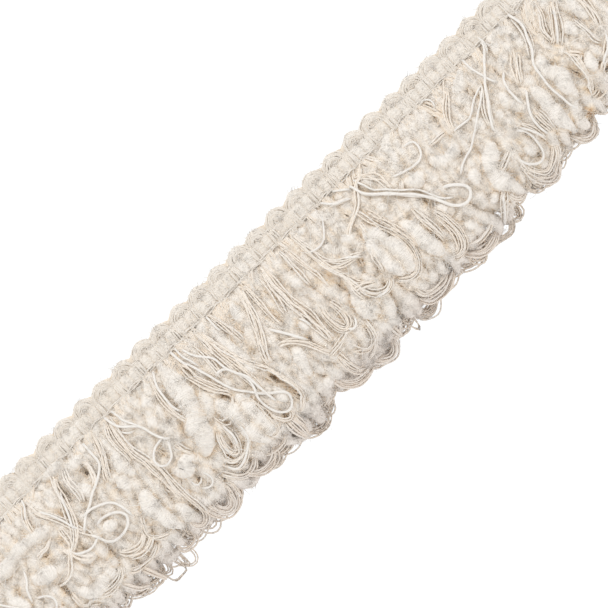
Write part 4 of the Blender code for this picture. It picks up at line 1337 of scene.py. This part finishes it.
class FringeSizes(bpy.types.PropertyGroup):
    """Sizes of the yarns."""

    chenille_thickness: bpy.props.FloatProperty(
        name="Chenille thickness",
        description="Thickness of the fat yarn with its pile",
        default=0.0057,
        unit="LENGTH",
    )
    yarn_thickness: bpy.props.FloatProperty(
        name="Fine yarn thickness",
        description="Thickness of each yarn of a skein",
        default=0.00058,
        unit="LENGTH",
    )
    tuft_length: bpy.props.FloatProperty(
        name="Tuft length",
        description="How far the chenille's tufts stand out",
        default=0.0016,
        unit="LENGTH",
    )
    tuft_thickness: bpy.props.FloatProperty(
        name="Tuft thickness",
        description="Half the width of a tuft's foot",
        default=0.00013,
        unit="LENGTH",
    )
    tufts_per_mm: bpy.props.FloatProperty(
        name="Tufts",
        description="Tufts for each millimetre of yarn and of its radius",
        default=9.5,
    )
    fibre_count: bpy.props.IntProperty(
        name="Stray fibres",
        description="Number of loose hairs on the loops",
        default=260,
    )


class FringeColours(bpy.types.PropertyGroup):
    """Colours of the yarns."""

    heading: bpy.props.FloatVectorProperty(
        name="Heading",
        description="Colour of the crocheted heading",
        default=(0.84, 0.768, 0.684),
        subtype="COLOR",
    )
    chenille: bpy.props.FloatVectorProperty(
        name="Chenille",
        description="Colour of the fat loops",
        default=(0.945, 0.88, 0.812),
        subtype="COLOR",
    )
    skein: bpy.props.FloatVectorProperty(
        name="Fine yarn",
        description="Colour of the skeins",
        default=(0.96, 0.845, 0.72),
        subtype="COLOR",
    )
    cord: bpy.props.FloatVectorProperty(
        name="Cord",
        description="Colour of the cotton cords",
        default=(0.955, 0.912, 0.86),
        subtype="COLOR",
    )
    # The colour of painted shade: furrows and deep-lying chenille are drawn to it; fibre flecks, a random tone,
    # too.
    deep: bpy.props.FloatVectorProperty(
        name="Depth",
        description="Colour between fibres and plies",
        default=(0.66, 0.53, 0.39),
        subtype="COLOR",
    )


def colours():
    """The colours in the panel."""
    return bpy.context.scene.fringe_colours


class FRINGE_OT_heading(bpy.types.Operator):
    """Makes the crocheted heading: its ground and its threads"""

    bl_idname = "fringe.heading"
    bl_label = "Crochet the heading"

    def execute(self, context):
        rng = np.random.default_rng(SEED + 1)
        tint = colours()
        material = yarn_material(
            "heading_yarn", tint.heading, tint.cord, tint.deep, (2, 0.0018, 0.6), (0.5, 0.12, 0.15),
            (0.00008, 0.00005, 0.00005), (0.05, 0.85),
        )
        ground = yarn_material(
            "heading_ground", tint.heading, tint.heading, tint.deep, (1, 0.001, 2.0), (0.0, 0.2, 0.3),
            (0.0002, 0.0001, 0.0002), (0.1, 0.9),
        )
        wool = chenille_material("heading_soft_yarn", True, tint_of="heading")
        turned, soft = heading_turns(rng)
        threads = mesh_piece("heading_threads", join_tubes(turned + heading_bindings(rng), 4), material)
        ripples = [uneven_pile(rng, centre, 10) for centre, radius, shade in soft]
        fat = mesh_piece("heading_soft_yarns", join_tubes(soft, 10, ripples), wool)
        tape = mesh_piece("heading_tape", heading_ground(), ground)
        tufts = tuft_piece("heading_tufts", soft[::2], Pile(), rng)
        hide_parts("heading_braid")
        return {"FINISHED"}


class FRINGE_OT_chenille(bpy.types.Operator):
    """Makes the fat chenille loops: their bodies and the tufts of their pile"""

    bl_idname = "fringe.chenille"
    bl_label = "Lay the chenille loops"

    def execute(self, context):
        rng = np.random.default_rng(SEED + 2)
        strands = laid_loops("chenille")
        lower = LAYERS[1][1]
        middle = lower + LAYERS[3][1]
        # The lower and middle chenille are shaded copies of the upper: their colour is drawn to the painted shade
        # colour.
        layers = (
            ("lower", strands[:lower], 7, chenille_material("chenille_deep_painted_shade", True, 0.04)),
            ("middle", strands[lower:middle], 7, chenille_material("chenille_inner_painted_shade", True, 0.02)),
            ("upper", strands[middle:], 8, chenille_material("chenille_body", True)),
        )
        for label, part, sides, material in layers:
            ripples = [uneven_pile(rng, centre, sides) for centre, radius, shade in part]
            body = mesh_piece("chenille_bodies_" + label, join_tubes(part, sides, ripples), material)
            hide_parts("chenille_loops_" + label)
            tuft_piece("chenille_tufts_" + label, part, laid_loops("top"), rng)
        return {"FINISHED"}


class FRINGE_OT_skeins(bpy.types.Operator):
    """Makes the skeins of fine yarn"""

    bl_idname = "fringe.skeins"
    bl_label = "Lay the skeins"

    def execute(self, context):
        tint = colours()
        twist, relief = (2, 0.0017, 0.4), (0.00012, 0.00004, 0.00003)
        bright = yarn_material(
            "skein_yarn", tint.skein, tint.cord, tint.deep, twist, (0.75, 0.12, 0.08), relief, (0.05, 0.8)
        )
        # Skeins that lie low get a copy of the yarn dimmed by a twentieth and less pale, a painted shade.
        painted_dimming = [[0.95 * a for a in colour] for colour in (tint.skein, tint.cord)]
        shaded = yarn_material(
            "skein_yarn_painted_shade", *painted_dimming, tint.deep, twist, (0.4, 0.15, 0.10), relief, (0.1, 0.85)
        )
        strands = laid_loops("skein")
        heights = [np.median(centre[:, 2]) for centre, radius, shade in strands]
        layers = (
            ("lower", 0.0, 4.0, 3, shaded), ("middle", 4.0, 9.5, 4, bright), ("upper", 9.5, CORD_CAP, 4, bright),
        )
        for label, low, high, sides, material in layers:
            part = [strand for strand, z in zip(strands, heights) if low <= z < high]
            piece = mesh_piece("skein_yarns_" + label, join_tubes(part, sides), material)
        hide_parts("yarn_skein_loops")
        return {"FINISHED"}


class FRINGE_OT_cords(bpy.types.Operator):
    """Makes the smooth white cords and the loose hairs"""

    bl_idname = "fringe.cords"
    bl_label = "Lay the cords and hairs"

    def execute(self, context):
        tint = colours()
        shade = [0.94 * a for a in tint.cord]
        material = yarn_material(
            "cotton_cord", shade, shade, tint.deep, (3, 0.0028, 0.3), (0.0, 0.10, 0.10),
            (0.00010, 0.00004, 0.00003), (0.15, 0.75),
        )
        cords = mesh_piece("cotton_cords", join_tubes(laid_loops("cord"), 8), material)
        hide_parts("cotton_cord_loops")
        fibres = stray_fibres(laid_loops("top"), np.random.default_rng(SEED + 3), sizes().fibre_count)
        none = (0.0, 0.0, 0.0)
        fine = yarn_material(
            "loose_fibre", tint.cord, tint.cord, tint.deep, (0, 0.001, 0.0), none, none, (0.0, 0.8)
        )
        hairs = mesh_piece("stray_fibres", join_tubes(fibres, 3), fine)
        return {"FINISHED"}


def area_light(name, place, size, power, tint=(1, 1, 1)):
    """A square light that faces the middle of the trimming."""
    data = bpy.data.lights.new(name, "AREA")
    data.size = size
    data.energy = power
    data.color = tint
    light = bpy.data.objects.new(name, data)
    light.location = place
    light.rotation_mode = "QUATERNION"
    light.rotation_quaternion = (-light.location).to_track_quat("-Z", "Y")
    bpy.context.scene.collection.objects.link(light)


# The floor's half width and its depth under the part, so that the two don't flicker.
FLOOR_REACH = 3.0
FLOOR_Z = -0.00005

# The camera looks straight down on the pile from a distance, turned as the photograph is. Its frame is as wide as
# 608 pixels of the photograph, at 3.4 pixels to a millimetre.
CAMERA_PLACE = (0, 0.0024, 1.209)
CAMERA_DISTANCE = 1.2
CAMERA_TURN = -44.8
FRAME_WIDTH = 0.1788
SENSOR_WIDTH = 36


class FRINGE_OT_stage(bpy.types.Operator):
    """Makes the pale floor, the soft studio light and the camera straight above"""

    bl_idname = "fringe.stage"
    bl_label = "Set the stage"

    def execute(self, context):
        scene = bpy.context.scene
        mesh = bpy.data.meshes.new("floor")
        corners = [(x * FLOOR_REACH, y * FLOOR_REACH, FLOOR_Z) for x, y in ((-1, -1), (1, -1), (1, 1), (-1, 1))]
        mesh.from_pydata(corners, [], [(0, 1, 2, 3)])
        floor = bpy.data.objects.new("floor", mesh)
        scene.collection.objects.link(floor)
        paper = bpy.data.materials.new("pale_paper")
        paper.use_nodes = True
        shader = paper.node_tree.nodes["Principled BSDF"]
        shader.inputs["Base Color"].default_value = (0.10, 0.10, 0.10, 1)
        shader.inputs["Roughness"].default_value = 0.9
        shader.inputs["Emission Color"].default_value = (0.98, 0.99, 1, 1)
        shader.inputs["Emission Strength"].default_value = 1.0
        mesh.materials.append(paper)
        world = bpy.data.worlds.new("studio")
        world.use_nodes = True
        background = world.node_tree.nodes["Background"]
        background.inputs["Color"].default_value = (0.98, 0.985, 0.985, 1)
        background.inputs["Strength"].default_value = 0.928
        scene.world = world
        area_light("key", (0.05, 0.95, 0.85), 0.8, 4.3, (0.96, 0.985, 1.0))
        area_light("fill", (0.15, -0.8, 0.55), 1.0, 1.2)
        data = bpy.data.cameras.new("camera")
        data.sensor_width = SENSOR_WIDTH
        data.lens = SENSOR_WIDTH * CAMERA_DISTANCE / FRAME_WIDTH
        data.clip_end = 20
        camera = bpy.data.objects.new("camera", data)
        camera.location = CAMERA_PLACE
        camera.rotation_euler = (0, 0, np.radians(CAMERA_TURN))
        scene.collection.objects.link(camera)
        scene.camera = camera
        scene.view_settings.view_transform = "Standard"
        return {"FINISHED"}


STEPS = (
    FRINGE_OT_heading,
    FRINGE_OT_chenille,
    FRINGE_OT_skeins,
    FRINGE_OT_cords,
    FRINGE_OT_stage,
)


class FRINGE_PT_panel(bpy.types.Panel):
    """Lists the sizes, the colours and the steps"""

    bl_label = "Chenille loop fringe"
    bl_idname = "FRINGE_PT_panel"
    bl_space_type = "VIEW_3D"
    bl_region_type = "UI"
    bl_category = "Fringe"

    def draw(self, context):
        for group_of in (context.scene.fringe_sizes, context.scene.fringe_colours):
            for name in group_of.__annotations__:
                self.layout.prop(group_of, name)
        for step in STEPS:
            self.layout.operator(step.bl_idname)


CLASSES = (FringeSizes, FringeColours, *STEPS, FRINGE_PT_panel)


def register():
    """Registers the classes and puts the sizes and colours on the scene."""
    for one in CLASSES:
        bpy.utils.register_class(one)
    bpy.types.Scene.fringe_sizes = bpy.props.PointerProperty(type=FringeSizes)
    bpy.types.Scene.fringe_colours = bpy.props.PointerProperty(type=FringeColours)


def unregister():
    """Takes them off again."""
    del bpy.types.Scene.fringe_colours
    del bpy.types.Scene.fringe_sizes
    for one in reversed(CLASSES):
        bpy.utils.unregister_class(one)


def main():
    """Makes every piece in order."""
    register()
    bpy.ops.fringe.heading()
    bpy.ops.fringe.chenille()
    bpy.ops.fringe.skeins()
    bpy.ops.fringe.cords()
    bpy.ops.fringe.stage()


if __name__ == "__main__":
    main()
